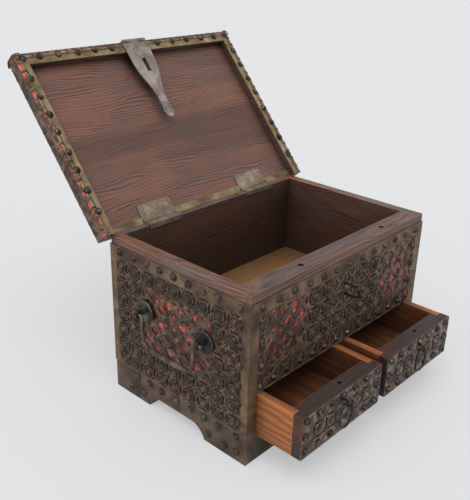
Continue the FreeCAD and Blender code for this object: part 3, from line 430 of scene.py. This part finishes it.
def grid(x0, x1, y0, y1, columns, rows, height):
    """Adds a flat grid to the open piece, or opens a new one with it; sizes in mm."""
    fresh = bpy.context.mode == "OBJECT"
    (bpy.ops.object if fresh else bpy.ops.mesh).select_all(action="DESELECT")
    bpy.ops.mesh.primitive_grid_add(size=1, location=(0, 0, 0), x_subdivisions=columns, y_subdivisions=rows)
    if fresh:
        bpy.ops.object.mode_set(mode="EDIT")
    bpy.ops.transform.resize(value=((x1 - x0) * MM, (y1 - y0) * MM, 1), center_override=(0, 0, 0))
    bpy.ops.transform.translate(value=((x0 + x1) / 2 * MM, (y0 + y1) / 2 * MM, height * MM))


def fretwork(name, bands, bar, relief=0.8, thick=0.9):
    """Pierced and embossed sheet, flat. Each band is (pattern, x from, x to, y from, y to, columns, rows):
    lattice of crossed bars, rosette of eight petals, square, or panel, which is only embossed."""
    for band in bands:
        grid(*band[1:], relief)
    # lattices first: a rosette also cuts the border that it shares with its neighbour
    for pattern, x0, x1, y0, y1, columns, rows in sorted(bands, key=lambda band: band[0] != "lattice"):
        column, row = (x1 - x0) / columns, (y1 - y0) / rows

        def inside(part, middle, margin=0.4):
            return x0 + margin < middle.x < x1 - margin and y0 + margin < middle.y < y1 - margin

        def square_on(part):
            run = part.verts[0].co - part.verts[1].co
            return min(abs(run.x), abs(run.y)) < 0.01 * MM

        pick("FACE", inside)
        if pattern == "lattice":
            bpy.ops.mesh.poke()
            pick("EDGE", lambda part, middle: inside(part, middle) and square_on(part))
            bpy.ops.mesh.dissolve_edges(use_verts=False)
        elif pattern == "rosette":
            bpy.ops.mesh.poke()
            # the whole sides of the cells, with those on the band's border, get a corner in their middle
            pick("EDGE", lambda part, middle: inside(part, middle, -0.1) and square_on(part)
                 and part.calc_length() > 0.7 * min(column, row) * MM)
            bpy.ops.mesh.subdivide(number_cuts=1)
        pick("FACE", inside)
        # panels and lattices have broader bars
        broader = {"panel": 1.3, "lattice": 1.75}.get(pattern, 1)
        bpy.ops.mesh.inset(thickness=bar * broader * MM, depth=-relief * MM, use_individual=True)
        if pattern != "panel":
            mesh = bmesh.from_edit_mesh(bpy.context.object.data)
            for face in mesh.faces:
                if face.select:
                    face.material_index = OPENING
            bmesh.update_edit_mesh(bpy.context.object.data)
            if pattern == "square":
                bpy.ops.mesh.bevel(affect="VERTICES", offset=0.24 * column * MM, segments=2)
            else:
                bpy.ops.mesh.bevel(affect="VERTICES", offset=bar * 0.8 * MM, segments=1)
    pick("FACE", lambda part, middle: part.material_index == OPENING)
    bpy.ops.mesh.delete(type="FACE")
    bpy.ops.mesh.select_all(action="SELECT")
    bpy.ops.mesh.remove_doubles(threshold=0.02 * MM)
    bpy.ops.object.mode_set(mode="OBJECT")
    piece = named(name)
    modify(piece, "SOLIDIFY", thickness=thick * MM, offset=-1)
    smooth(piece, 50)
    return piece


def dome(name, radius, rise, rims, segments=12):
    """A dome with rims drawn out round it, each (radius, height) in mm from its foot, closed underneath."""
    bpy.ops.object.select_all(action="DESELECT")
    bpy.ops.mesh.primitive_uv_sphere_add(segments=segments, ring_count=8, radius=radius * MM)
    piece = named(name)
    shape(piece)
    bpy.ops.mesh.select_all(action="SELECT")
    bpy.ops.mesh.bisect(plane_co=(0, 0, 0), plane_no=(0, 0, 1), clear_inner=True)
    bpy.ops.mesh.select_all(action="SELECT")
    bpy.ops.transform.resize(value=(1, 1, rise / radius), center_override=(0, 0, 0))
    pick("EDGE", lambda part, middle: part.is_boundary)
    reach, height = radius, 0
    for wide, high in rims:
        bpy.ops.mesh.extrude_edges_move(TRANSFORM_OT_translate={"value": (0, 0, (high - height) * MM)})
        bpy.ops.transform.resize(value=(wide / reach, wide / reach, 1), center_override=(0, 0, 0))
        reach, height = wide, high
    bpy.ops.mesh.edge_face_add()
    bpy.ops.mesh.select_all(action="SELECT")
    bpy.ops.mesh.normals_make_consistent(inside=False)
    bpy.ops.object.mode_set(mode="OBJECT")
    smooth(piece, 40)
    return piece


def fold(piece, heights, turn):
    """Folds a flat strip back by an angle at each height, the outermost first."""
    shape(piece)
    for height in heights:
        bpy.ops.mesh.select_all(action="SELECT")
        bpy.ops.mesh.bisect(plane_co=(0, height * MM, 0), plane_no=(0, 1, 0))
    for height in heights:
        pick("VERT", lambda part, middle: (middle.y - height) * turn > 0.01)
        bpy.ops.transform.rotate(value=turn, orient_axis="X", center_override=(0, height * MM, 0))
    bpy.ops.object.mode_set(mode="OBJECT")


def foil(name, x0, x1, y0, y1, seed):
    """Thin foil behind a pierced sheet, flat, the corners of its cells moved at random to crumple it."""
    cell = 9
    grid(x0, x1, y0, y1, round((x1 - x0) / cell), round((y1 - y0) / cell), 0.25)
    pick("VERT", lambda part, middle: not part.is_boundary)
    bpy.ops.transform.vertex_random(offset=0.22 * MM, uniform=1, normal=0, seed=seed)
    bpy.ops.object.mode_set(mode="OBJECT")
    piece = named(name)
    modify(piece, "SOLIDIFY", thickness=0.1 * MM, offset=-1)
    return piece


# Steps

class CHEST_OT_finishes(Operator):
    """Makes the finishes and gives them to the CAD pieces"""
    bl_idname = "chest.finishes"
    bl_label = "Finishes"

    def execute(self, context):
        c = context.scene.chest_colours
        rosewood = [tuple(v) for v in (c.wood_light, c.wood_mid, c.wood_dark, c.wood_grey)]
        teak = [tuple(v) for v in (c.teak_light, c.teak_mid, c.teak_dark)]
        iron = [tuple(v) for v in (c.iron_dark, c.iron_mid, c.iron_worn)]
        brass = [tuple(v) for v in (c.brass_dark, c.brass_mid, c.brass_worn)]
        # the fifth colour of each wood goes on its edges: rubbed wear and a painted highlight
        # Indian rosewood, waxed long ago: purple-brown with black veins, rubbed grey
        wood("rosewood_lid", 0, (0, 0.65, 0.76), *rosewood, linear("A88878"), greying=0.45, gloss=0.46,
             ring=4.2)
        wood("rosewood_long", 0, (0, 0.25, 0.97), *shades("86624F 674638 301F19"), rosewood[3],
             linear("967D70"), greying=0.7, red="84563F")
        wood("rosewood_side", 1, (0.25, 0, 0.97), *shades("8C634D 6C4838 35211A 6E5F5E B87E5A"),
             greying=0.7, red="93614A")
        # the drawer fronts are of the same wood, cut darker
        wood("rosewood_front", 0, (0, 0.8, 0.6), *shades("553D33 402B23 261712 463A38 7A5642"),
             greying=0.6, gloss=0.6, red="6E3F2E")
        # teak of the drawers, unfinished: orange-brown, dry
        teak += shades("8E6240 BC8A58")
        wood("teak_side", 1, (0.5, 0, 0.87), *teak, gloss=0.62, red="A0582C", ring=9)
        wood("teak_long", 0, (0, 0.5, 0.87), *teak, gloss=0.62, red="A0582C")
        wood("teak_floor", 0, (0, 1, 0), *shades("D49A5E B9824C 84562F A8845A B48A58"), gloss=0.6,
             red="B47A3C")
        # sheet iron, blackened and pierced: matt, taupe where rubbed, greenish in places
        metal("pierced_sheet", *iron, 13, 0.5, 0.52, tint="50584A")
        # embossed bosses and dome nails of the body, darker and greener than the sheet
        metal("boss_iron", *shades("271D18 4F3F34 7E6757"), 8, 0.5, 0.5, tint="3E4238")
        # the same sheet left plain along the foot, smoother
        metal("plinth_sheet", *shades("41342B 5F4D3F 7A6450"), 40, 0.45, 0.55, dents=0.25, speck=0.35)
        # brass strips of the body, browned by handling, lighter on their edges for bare metal and a painted
        # highlight
        metal("brown_brass", *shades("4A3B30 6F5943 927553"), 30, 0.5, 0.52, wear_and_highlight_share=0.7, speck=0.4)
        # brass strips of the lid, kept cleaner: khaki
        metal("brass_sheet", *brass, 34, 0.6, 0.48, speck=0.3)
        # cast brass hinges, rubbed pale, a little verdigris
        metal("cast_brass", *shades("6E6152 8C7E6C C4B49C"), 30, 0.65, 0.44, tint="7C8474", speck=0.15)
        # forged iron with black oxide: rings and staples
        metal("forged_iron", *shades("1E1A17 3C332F 7A6C64"), 7, 0.8, 0.42)
        # dished plates of the handles, black-green
        metal("plate_iron", *shades("23241F 3F4139 6C6C60"), 14, 0.7, 0.45, speck=0.4)
        # handles, browned and polished by hands
        metal("bail_iron", *shades("40322D 66524A 8C776C"), 22, 0.65, 0.45, dents=0.2, speck=0.25,
              hollow_dirt_and_shade=0.4)
        # dome nails of dark bronze, rubbed on top
        metal("stud_bronze", *shades("211D19 494039 8C7C70"), 6, 0.8, 0.36, dents=0.2)
        # flat steel of the hasp, grey-brown and smooth
        metal("hasp_steel", *shades("6C605A 9A8D85 C0B4AC"), 34, 0.7, 0.42, dents=0.15, speck=0.2)
        # brass screws of the hinges, bright and a little rusty
        metal("screw_brass", *shades("6A4A30 B08E68 E2CAA6"), 3, 0.75, 0.38, hollow_dirt_and_shade=0.4)
        # tinned sheet of the drawer faces, silver-grey
        metal("tinned_sheet", *shades("2E231C 5A4A3F 9A8A7E"), 11, 0.6, 0.42, speck=0.6,
              stops=(0.36, 0.50, 0.66))
        # lacquered foil behind the piercing, red only where it is clean
        metal("red_foil", tuple(c.foil_dark), tuple(c.foil_red), linear("E88E78"), 17, 0.3, 0.35, dents=0.6,
              wear_and_highlight_share=0.0, hollow_dirt_and_shade=0.25, stops=(0.50, 0.60, 0.76))
        # dark backing behind the other piercings
        metal("old_backing", *shades("2A1E18 463326 6C5239"), 9, 0.2, 0.6, wear_and_highlight_share=0.0, hollow_dirt_and_shade=0.35)

        # every CAD piece gets its finish, also where a finer piece then stands for it
        for finish, nodes in {
                "rosewood_lid": "lid_panel",
                "rosewood_long": "back_board front_board front_rail lid_front_moulding",
                "rosewood_side": "*_side_board lid_*_moulding drawer_divider",
                "rosewood_front": "*_drawer_front",
                "teak_floor": "compartment_floor bottom_board",
                "teak_side": "*_drawer_left_side *_drawer_right_side *_drawer_bottom",
                "teak_long": "*_drawer_back",
                "pierced_sheet": "*_pierced_sheet front_pierced_sheet",
                "red_foil": "lid_cover_sheet",
                "plinth_sheet": "*_plinth_sheet front_plinth_sheet",
                "brown_brass": "*_top_strip front_top_strip front_*_angle back_*_angle",
                "brass_sheet": "lid_*_strip lid_front_strip lid_rear_strip",
                "cast_brass": "*_hinge_body_leaf *_hinge_lid_leaf hinge_pins",
                "tinned_sheet": "*_drawer_face_sheet",
                "hasp_steel": "hasp hasp_strap",
                "plate_iron": "bail_rosettes bail_posts",
                "bail_iron": "*_bail",
                "forged_iron": "lock_staple hasp_pin *_drawer_ring *_drawer_pull_staple"}.items():
            coat(finish, *both(nodes))
        return {"FINISHED"}


class CHEST_OT_boards(Operator):
    """Rounds the edges of the boards and strips, as use has worn them"""
    bl_idname = "chest.boards"
    bl_label = "Boards and strips"

    def execute(self, context):
        sizes = context.scene.chest_sizes
        for finish, edge, nodes in (
                ("rosewood_lid", sizes.board_edge, "lid_panel"),
                ("rosewood_long", sizes.board_edge, "back_board front_board front_rail lid_front_moulding"),
                ("rosewood_side", sizes.board_edge, "*_side_board lid_*_moulding"),
                ("rosewood_front", sizes.board_edge, "*_drawer_front"),
                ("teak_side", sizes.board_edge, "left_drawer_*_side right_drawer_*_side"),
                ("brown_brass", sizes.metal_edge,
                 "*_top_strip front_top_strip front_*_angle back_*_angle"),
                ("brass_sheet", sizes.metal_edge, "lid_*_strip lid_front_strip"),
                ("plinth_sheet", sizes.metal_edge, "*_plinth_sheet front_plinth_sheet"),
                ("hasp_steel", sizes.metal_edge, "hasp hasp_strap")):
            for node in both(nodes):
                piece = taken_from(node, node + "_worn")
                modify(piece, "BEVEL", width=edge, segments=2, limit_method="ANGLE",
                       angle_limit=math.radians(30), use_clamp_overlap=True)
                smooth(piece, 35)
                modify(piece, "WEIGHTED_NORMAL", keep_sharp=True)
                mount(piece, node, finish)
        return {"FINISHED"}


class CHEST_OT_fretwork(Operator):
    """Pierces and embosses the sheets of the front and the two ends, with foil behind them"""
    bl_idname = "chest.fretwork"
    bl_label = "Pierced sheets"

    def execute(self, context):
        # the ends: 9 columns and 7 rows, rosettes round a lattice behind the handle
        half, low, high = END_HALF, END_FOOT, FIELD_TOP
        xs = [-half + half * 2 / 9 * k for k in range(10)]
        ys = [low + (high - low) / 7 * k for k in range(8)]
        end_bands = [("rosette", -half, half, low, ys[2], 9, 2),
                     ("rosette", -half, xs[2], ys[2], ys[6], 2, 4),
                     ("lattice", xs[2], xs[7], ys[2], ys[6], 5, 4),
                     ("rosette", xs[7], half, ys[2], ys[6], 2, 4),
                     ("rosette", -half, half, ys[6], high, 9, 1)]
        # the front: rosettes in the middle and along the edges, a lattice on either side
        low, rise = FRONT_FOOT, FRONT_LATTICE_FOOT
        inner, outer, edge = FRONT_MIDDLE, FRONT_LATTICE_END, FRONT_END
        front_bands = [("rosette", -edge, -outer, low, high, 1, 4),
                       ("rosette", -outer, -inner, low, rise, 3, 1),
                       ("lattice", -outer, -inner, rise, high, 3, 3),
                       ("rosette", -inner, inner, low, high, 6, 4),
                       ("rosette", inner, outer, low, rise, 3, 1),
                       ("lattice", inner, outer, rise, high, 3, 3),
                       ("rosette", outer, edge, low, high, 1, 4)]
        for side, base, bands in (("left", LEFT, end_bands), ("right", RIGHT, end_bands),
                                  ("front", FRONT, front_bands)):
            node = side + "_pierced_sheet"
            sheet = fretwork(side + "_fretwork", bands, bar=1.7)
            # the hollows lie just under the face of the solid sheet, and the bars stand out of it
            settle(sheet, base @ Matrix.Translation(Z * (SHEET - 0.1) * MM))
            mount(sheet, node, "pierced_sheet")
            for index, (pattern, *field) in enumerate(bands):
                backing = foil(f"{side}_foil_{index}", *field[:4], index)
                settle(backing, base)
                mount(backing, node, "red_foil" if pattern == "lattice" else "old_backing", None)
        return {"FINISHED"}


class CHEST_OT_studs(Operator):
    """Drives the dome-headed nails and the bosses of the rosettes"""
    bl_idname = "chest.studs"
    bl_label = "Studs"

    def execute(self, context):
        sizes = context.scene.chest_sizes
        wide, rise = sizes.stud / MM, sizes.stud_rise / MM
        # a nail: a dome with a thin rim, sunk 0.6 mm
        nail = dome("nail_model", wide * 0.43, rise, [(wide * 0.5, 0), (wide * 0.5, -0.6)])
        # an embossed boss: a dome in a raised ring
        boss = dome("boss_model", 5.6, 3.6,
                    [(6.3, 0), (7.1, 0), (7.8, 1.1), (8.7, 1.1), (9.5, 0), (9.5, -0.6)], 16)
        chance = random.Random(7)
        stray = 0.7                          # mm by which a nail may miss its spot

        def studs(model, name, node, base, spots, size, finish, out=ON_SHEET):
            """Sets a model on each spot of a wall, in mm, each a little off, of its own size and turn."""
            places = [spot(base, x + chance.uniform(-stray, stray), y + chance.uniform(-stray, stray), out,
                           size * chance.uniform(0.92, 1.07), chance.uniform(0, 6.28)) for x, y in spots]
            mount(copies(model, name, places), node, finish, None)

        # the ends: a border of nails on the strips and the plinth
        rows = ((228, (246, 216, 189, 162, 135, 108, 80, 54, 17)),
                (37, (216, 189, 162, 133, 103, 77, 51, 19)),
                (14, (231, 204, 69, 38, 18)))
        border = [(y, z) for z, row in rows for y in row]
        border += [(16.5, z) for z in (203, 175, 147, 120, 92, 63)]
        border += [(246, z) for z in (203, 178, 150, 125, 100, 72)]
        border = [(y - NAILS_FROM, z) for y, z in border]
        # lines of the pattern: the odd ones run through the middle of its squares, the others between them
        xs = [-END_HALF + END_HALF * 2 / 18 * k for k in range(19)]
        ys = [END_FOOT + (FIELD_TOP - END_FOOT) / 14 * j for j in range(15)]
        # bosses in the middle of the squares and nails on their corners, clear of the handle's plates
        bosses = [(xs[k], ys[j]) for k in range(1, 18, 2) for j in range(1, 14, 2)
                  if not (4 < k < 14 and 4 < j < 12) and not (k in (3, 15) and j == 9)]
        corners = [(xs[k], ys[j]) for k in range(2, 17, 2) for j in range(2, 13, 2)
                   if not (4 < k < 14 and 4 < j < 12) and not (k in (4, 14) and j in (8, 10))]
        crossings = [(xs[k], ys[j]) for k in (6, 8, 10, 12) for j in (6, 8, 10)
                     if not (k in (6, 12) and j in (8, 10))]
        beads = [(xs[k], ys[j]) for k in range(1, 18) for j in range(1, 14)
                 if (k + j) % 2 and not (3 < k < 15 and 3 < j < 13)]
        for name, base, hand in (("left", LEFT, -1), ("right", RIGHT, 1)):
            for model, kind, spots, size, finish in (
                    (nail, "studs", border, 1.06, "boss_iron"),
                    (boss, "bosses", bosses, 1.0, "boss_iron"),
                    (nail, "corner_nails", corners, 0.66, "boss_iron"),
                    (nail, "crossings", crossings, 0.6, "stud_bronze"),
                    (nail, "beads", beads, 0.4, "stud_bronze")):
                node = name + ("_top_strip" if kind == "studs" else "_pierced_sheet")
                studs(model, f"{name}_{kind}", node, base, [(hand * y, z) for y, z in spots], size, finish)

        # the front
        border = [(x - 200, 227) for x in (24, 54, 86, 116, 146, 175, 205, 236, 265, 293, 320, 350, 380)]
        border += [(x, z) for x in (-175, 176) for z in (200, 172, 144)]
        foot = [(-176 + 27.1 * k, 115) for k in range(14)]
        xs = [-FRONT_MIDDLE + 14 * k for k in range(13)]
        ys = [FRONT_FOOT + (FIELD_TOP - FRONT_FOOT) / 8 * j for j in range(9)]
        bosses = [(xs[k], ys[j]) for k in range(1, 12, 2) for j in (3, 5, 7) if not (k in (5, 7) and j > 4)]
        corners = [(xs[k], ys[j]) for k in range(0, 13, 2) for j in (4, 6) if k != 6]
        crossings = [(hand * (FRONT_MIDDLE + 28 * k), FRONT_LATTICE_FOOT + 28.1 * j)
                     for hand in (-1, 1) for k in (1, 2) for j in (1, 2)]
        beads = [(xs[k], ys[j]) for k in range(1, 12) for j in range(2, 8)
                 if (k + j) % 2 and not (4 < k < 8 and j > 4)]
        for model, kind, spots, size, finish in (
                (nail, "studs", border, 1.0, "boss_iron"),
                (nail, "foot_nails", foot, 0.8, "stud_bronze"),
                (boss, "bosses", bosses, 1.1, "boss_iron"),
                (nail, "corner_nails", corners, 0.62, "boss_iron"),
                (nail, "crossings", crossings, 0.6, "stud_bronze"),
                (nail, "beads", beads, 0.4, "stud_bronze")):
            node = "front_top_strip" if kind == "studs" else "front_pierced_sheet"
            studs(model, "front_" + kind, node, FRONT, spots, size, finish)

        # the lid's underside: nails through the brass strips, near their outer edge
        underside = 238
        down = LID @ wall(X, -Y, -Z, (0, 0, underside))
        ends = [(hand * 207, reach - 140.5) for hand in (-1, 1)
                for reach in (250, 221, 192, 163, 130, 102, 70, 37)]
        across = [(x, 142.5) for x in (-206, -178, -146, -112, -79, -47, 47, 79, 112, 146, 178, 206)]
        studs(nail, "lid_strip_studs", "lid_front_strip", down, ends + across, 0.96, "stud_bronze", 0)

        # drawer faces: rows of dark nails on the pale sheet, and pale rings between
        for name, side in (("left", -1), ("right", 1)):
            middle = side * DRAWER_MIDDLE
            base = wall(X, Z, -Y, (middle, -DRAWER_FRONT - SHEET, 0))
            nails = [(25.6 * k, z) for z in (97, 50.5) for k in range(-3, 4) if k or z > 60]
            nails += [(hand * 78, 74) for hand in (-1, 1)]
            rings = [(hand * x, 74) for x in (28, 52) for hand in (-1, 1)]
            node = name + "_drawer_face_sheet"
            studs(nail, name + "_drawer_studs", node, base, nails, 0.96, "stud_bronze", 0.2)
            studs(boss, name + "_drawer_rings", node, base, rings, 0.92, "tinned_sheet", 0.2)
            # three small nails through either side of the drawer into its front
            for hand, part in ((-1, "left"), (1, "right")):
                flank = wall(hand * Y, Z, hand * X, (middle + hand * DRAWER_HALF, 0, 0))
                studs(nail, f"{name}_drawer_nails_{hand + 1}", f"{name}_drawer_{part}_side", flank,
                      [(-hand * 188, z) for z in (92, 76, 60)], 0.3, "forged_iron", -1.12)
        scrap(boss, nail)
        return {"FINISHED"}


class CHEST_OT_lid_cover(Operator):
    """Covers the lid's top and its three edges with pierced sheet over foil"""
    bl_idname = "chest.lid_cover"
    bl_label = "Lid cover"

    def execute(self, context):
        # the top: 16 columns and 11 rows, rosettes round a lattice
        half, front, back = LID_HALF, LID_FRONT, LID_BACK
        xs = [-half + half * 2 / 16 * k for k in range(17)]
        ys = [front + (back - front) / 11 * k for k in range(12)]
        bands = [("rosette", -half, half, front, ys[3], 16, 3),
                 ("rosette", -half, xs[3], ys[3], ys[8], 3, 5),
                 ("lattice", xs[3], xs[13], ys[3], ys[8], 10, 5),
                 ("rosette", xs[13], half, ys[3], ys[8], 3, 5),
                 ("rosette", -half, half, ys[8], back, 16, 3)]
        sheet = fretwork("lid_top_fretwork", bands, bar=1.7)
        settle(sheet, LID @ Matrix.Translation(Z * (LID_TOP - 0.2) * MM))
        mount(sheet, "lid_cover_sheet", "pierced_sheet", None)
        # the sheet rolls over the edges and under the brass: openings at the foot, embossed above
        side_face, front_face, foot = 216.8, 151.75, 229.3
        middle, reach = (back - 151.45) / 2, 146
        corner, strap = 216.5, 25            # the front edge leaves room for the hasp's strap
        for side, along, out, origin, x0, x1, cells in (
                ("left", -Y, -X, (-side_face, middle, foot), -reach, reach, 20),
                ("right", Y, X, (side_face, middle, foot), -reach, reach, 20),
                ("front_left", X, -Y, (0, -front_face, foot), -corner, -strap, 13),
                ("front_right", X, -Y, (0, -front_face, foot), strap, corner, 13)):
            rows = [("square", x0, x1, 0.6, 13, cells, 1),
                    ("panel", x0, x1, 13, 26, cells, 1),
                    ("panel", x0, x1, 26, 39.4, cells, 1)]
            edge = fretwork(f"lid_{side}_edge", rows, bar=1.6, relief=0.5)
            # rolled over on to the top in four folds, and tucked in under the brass in three
            fold(edge, (37.9, 34.8, 31.6, 28.5), math.radians(22.5))
            fold(edge, (6.5, 9.5, 12.6), math.radians(-30))
            settle(edge, LID @ wall(along, Z, out, origin))
            mount(edge, "lid_cover_sheet", "pierced_sheet", None)
        return {"FINISHED"}


class CHEST_OT_drawer_faces(Operator):
    """Pierces the metal faces of the drawers"""
    bl_idname = "chest.drawer_faces"
    bl_label = "Drawer faces"

    def execute(self, context):
        low, high, half = 42.3, 104.7, DRAWER_HALF
        foot, head = 59, 88.5                # of the middle row
        plate, end = 14, 66                  # half widths: the ring's plate, and the four rosettes round it
        bands = [("panel", -half, half, head, high, 7, 1),
                 ("panel", -half, -end, foot, head, 1, 1),
                 ("rosette", -end, -plate, foot, head, 2, 1),
                 ("panel", -plate, plate, foot, head, 1, 1),
                 ("rosette", plate, end, foot, head, 2, 1),
                 ("panel", end, half, foot, head, 1, 1),
                 ("panel", -half, half, low, foot, 7, 1)]
        for name, side in (("left", -1), ("right", 1)):
            node = name + "_drawer_face_sheet"
            sheet = fretwork(name + "_drawer_fretwork", bands, bar=1.5, relief=0.6, thick=0.7)
            base = wall(X, Z, -Y, (side * DRAWER_MIDDLE, -DRAWER_FRONT, 0))
            # the hollows lie 0.9 mm out from the wood
            settle(sheet, base @ Matrix.Translation(Z * 0.9 * MM))
            mount(sheet, node, "tinned_sheet")
            backing = foil(name + "_drawer_foil", -half + 0.5, half - 0.5, low + 0.5, high - 0.5, 4)
            settle(backing, base)
            mount(backing, node, "old_backing", None)
        return {"FINISHED"}


class CHEST_OT_fittings(Operator):
    """Smooths the forged handles, rings and staples"""
    bl_idname = "chest.fittings"
    bl_label = "Forged fittings"

    def execute(self, context):
        for node in both("*_bail *_drawer_ring lock_staple *_drawer_pull_staple"):
            piece = taken_from(node, node + "_forged", flats=False)
            shape(piece)
            bpy.ops.mesh.select_all(action="SELECT")
            bpy.ops.mesh.tris_convert_to_quads()
            bpy.ops.object.mode_set(mode="OBJECT")
            modify(piece, "SUBSURF", levels=1, render_levels=1)
            smooth(piece, 60)
            mount(piece, node, "bail_iron" if node.endswith("bail") else "forged_iron")
        return {"FINISHED"}


class CHEST_OT_hinge_screws(Operator):
    """Puts the countersunk screws in the hinges"""
    bl_idname = "chest.hinge_screws"
    bl_label = "Hinge screws"

    def execute(self, context):
        bpy.ops.object.select_all(action="DESELECT")
        bpy.ops.mesh.primitive_cylinder_add(vertices=16, radius=3.6 * MM, depth=1.0 * MM)
        screw = named("screw_model")
        shape(screw)
        pick("FACE", lambda part, middle: part.normal.z > 0.9)
        bpy.ops.mesh.inset(thickness=0.5 * MM, depth=0.15 * MM)
        bpy.ops.object.mode_set(mode="OBJECT")
        bpy.ops.mesh.primitive_cube_add(size=1, scale=(7.6 * MM, 0.8 * MM, 1.0 * MM),
                                        location=(0, 0, 0.8 * MM))
        slot = bpy.context.object
        modify(screw, "BOOLEAN", object=slot, operation="DIFFERENCE", solver="EXACT")
        scrap(slot)
        smooth(screw, 30)
        for side, hand in (("left", -1), ("right", 1)):
            # the leaves close to 0.3 mm, so each head stands out by 0.12 mm
            rim = wall(X, Y, Z, (hand * HINGE_MIDDLE, 124.9, 250.1))
            under = LID @ wall(X, -Y, -Z, (hand * HINGE_MIDDLE, 119, 250.4))
            for leaf, base, middle, out, size in (("body", rim, 0, -0.53, 1.0),
                                                  ("lid", under, 2.2, -0.69, 1.25)):
                places = [spot(base, x, 0 if x else middle, out, size, turn)
                          for x, turn in ((-20, 0.4), (0, 1.9), (20, 2.7))]
                mount(copies(screw, f"{side}_{leaf}_leaf_screws", places), f"{side}_hinge_{leaf}_leaf",
                      "screw_brass", None)
        scrap(screw)
        return {"FINISHED"}


class CHEST_OT_stage(Operator):
    """Sets the pale floor, the soft light and the camera"""
    bl_idname = "chest.stage"
    bl_label = "Stage"

    def execute(self, context):
        scene = context.scene
        bpy.ops.object.select_all(action="DESELECT")
        bpy.ops.mesh.primitive_plane_add(size=60, location=(0, 0, 0))
        floor = context.object
        floor.name = "stage_floor"
        tree, place = start("pale_paper")
        # seamless paper: the fibre is finer than the render shows
        fibre = add(tree, "TexNoise", {"Vector": place, "Scale": 900, "Detail": 2})
        rough = add(tree, "MapRange", {"Value": fibre, "To Min": 0.85, "To Max": 0.95})
        paper = add(tree, "BsdfPrincipled", {"Base Color": tuple(scene.chest_colours.background),
                                             "Roughness": rough, "Specular IOR Level": 0.1})
        # the backdrop is lit evenly for the camera and in reflections; its shadows stay
        even = add(tree, "Emission", {"Color": linear("E4E5E8")})
        share = add(tree, "Math", {0: seen_direct(tree), 1: 0.5}, operation="MULTIPLY")
        surface = add(tree, "MixShader", {0: share, 1: paper, 2: even})
        add(tree, "OutputMaterial", {"Surface": surface})
        coat("pale_paper", floor)

        world = bpy.data.worlds.new("studio")
        scene.world = world
        world.use_nodes = True
        tree = world.node_tree
        tree.nodes.clear()
        sky = add(tree, "Background", {"Color": (1.0, 0.995, 0.985, 1), "Strength": 0.56})
        wall_behind = add(tree, "Background", {"Color": linear("E5E6E8"), "Strength": 1})
        surface = add(tree, "MixShader", {0: seen_direct(tree), 1: sky, 2: wall_behind})
        add(tree, "OutputWorld", {"Surface": surface})

        # a wide soft box above and in front, a weaker one from the left
        for name, strength, angle, toward in (
                ("key_light", 1.15, 60, (0.42, 0.24, -1.0)),
                ("side_light", 0.36, 80, (1.0, 0.1, -0.6))):
            bpy.ops.object.light_add(type="SUN", location=(0, 0, 2))
            light = context.object
            light.name = name
            light.data.energy = strength
            light.data.angle = math.radians(angle)
            light.rotation_euler = Vector(toward).to_track_quat("-Z", "Y").to_euler()

        bpy.ops.object.camera_add()
        camera = context.object
        camera.name = "photo_camera"
        turn, rise, roll = math.radians(-47.45), math.radians(23.89), 0.0249     # as in the photograph
        back = Vector((math.sin(turn) * math.cos(rise), -math.cos(turn) * math.cos(rise), math.sin(rise)))
        right = Z.cross(back).normalized()
        up = back.cross(right)
        right, up = (right * math.cos(roll) + up * math.sin(roll),
                     up * math.cos(roll) - right * math.sin(roll))
        stand = Matrix((right, up, back)).transposed().to_4x4()
        stand.translation = Vector((-762.3, -622.55, 639.4)) * MM
        camera.matrix_world = stand
        camera.data.lens = 51.86
        camera.data.sensor_width = 36
        camera.data.clip_end = 200
        scene.camera = camera
        scene.view_settings.view_transform = "Standard"
        return {"FINISHED"}


class CHEST_PT_panel(Panel):
    """Lists the steps and the values of the chest"""
    bl_idname = "CHEST_PT_panel"
    bl_label = "Arabic dowry chest"
    bl_space_type = "VIEW_3D"
    bl_region_type = "UI"
    bl_category = "Chest"

    def draw(self, context):
        for step in STEPS:
            self.layout.operator(step.bl_idname)
        for group in (context.scene.chest_sizes, context.scene.chest_colours):
            for name in group.bl_rna.properties.keys():
                if name not in ("rna_type", "name"):
                    self.layout.prop(group, name)


STEPS = (CHEST_OT_finishes, CHEST_OT_boards, CHEST_OT_fretwork, CHEST_OT_studs, CHEST_OT_lid_cover,
         CHEST_OT_drawer_faces, CHEST_OT_fittings, CHEST_OT_hinge_screws, CHEST_OT_stage)
CLASSES = (ChestColours, ChestSizes, *STEPS, CHEST_PT_panel)


def register():
    for item in CLASSES:
        bpy.utils.register_class(item)
    bpy.types.Scene.chest_colours = PointerProperty(type=ChestColours)
    bpy.types.Scene.chest_sizes = PointerProperty(type=ChestSizes)


def unregister():
    del bpy.types.Scene.chest_sizes
    del bpy.types.Scene.chest_colours
    for item in reversed(CLASSES):
        bpy.utils.unregister_class(item)


def main():
    """Builds the looks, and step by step."""
    register()
    for step in STEPS:
        space, action = step.bl_idname.split(".")
        getattr(getattr(bpy.ops, space), action)()


if __name__ == "__main__":
    main()
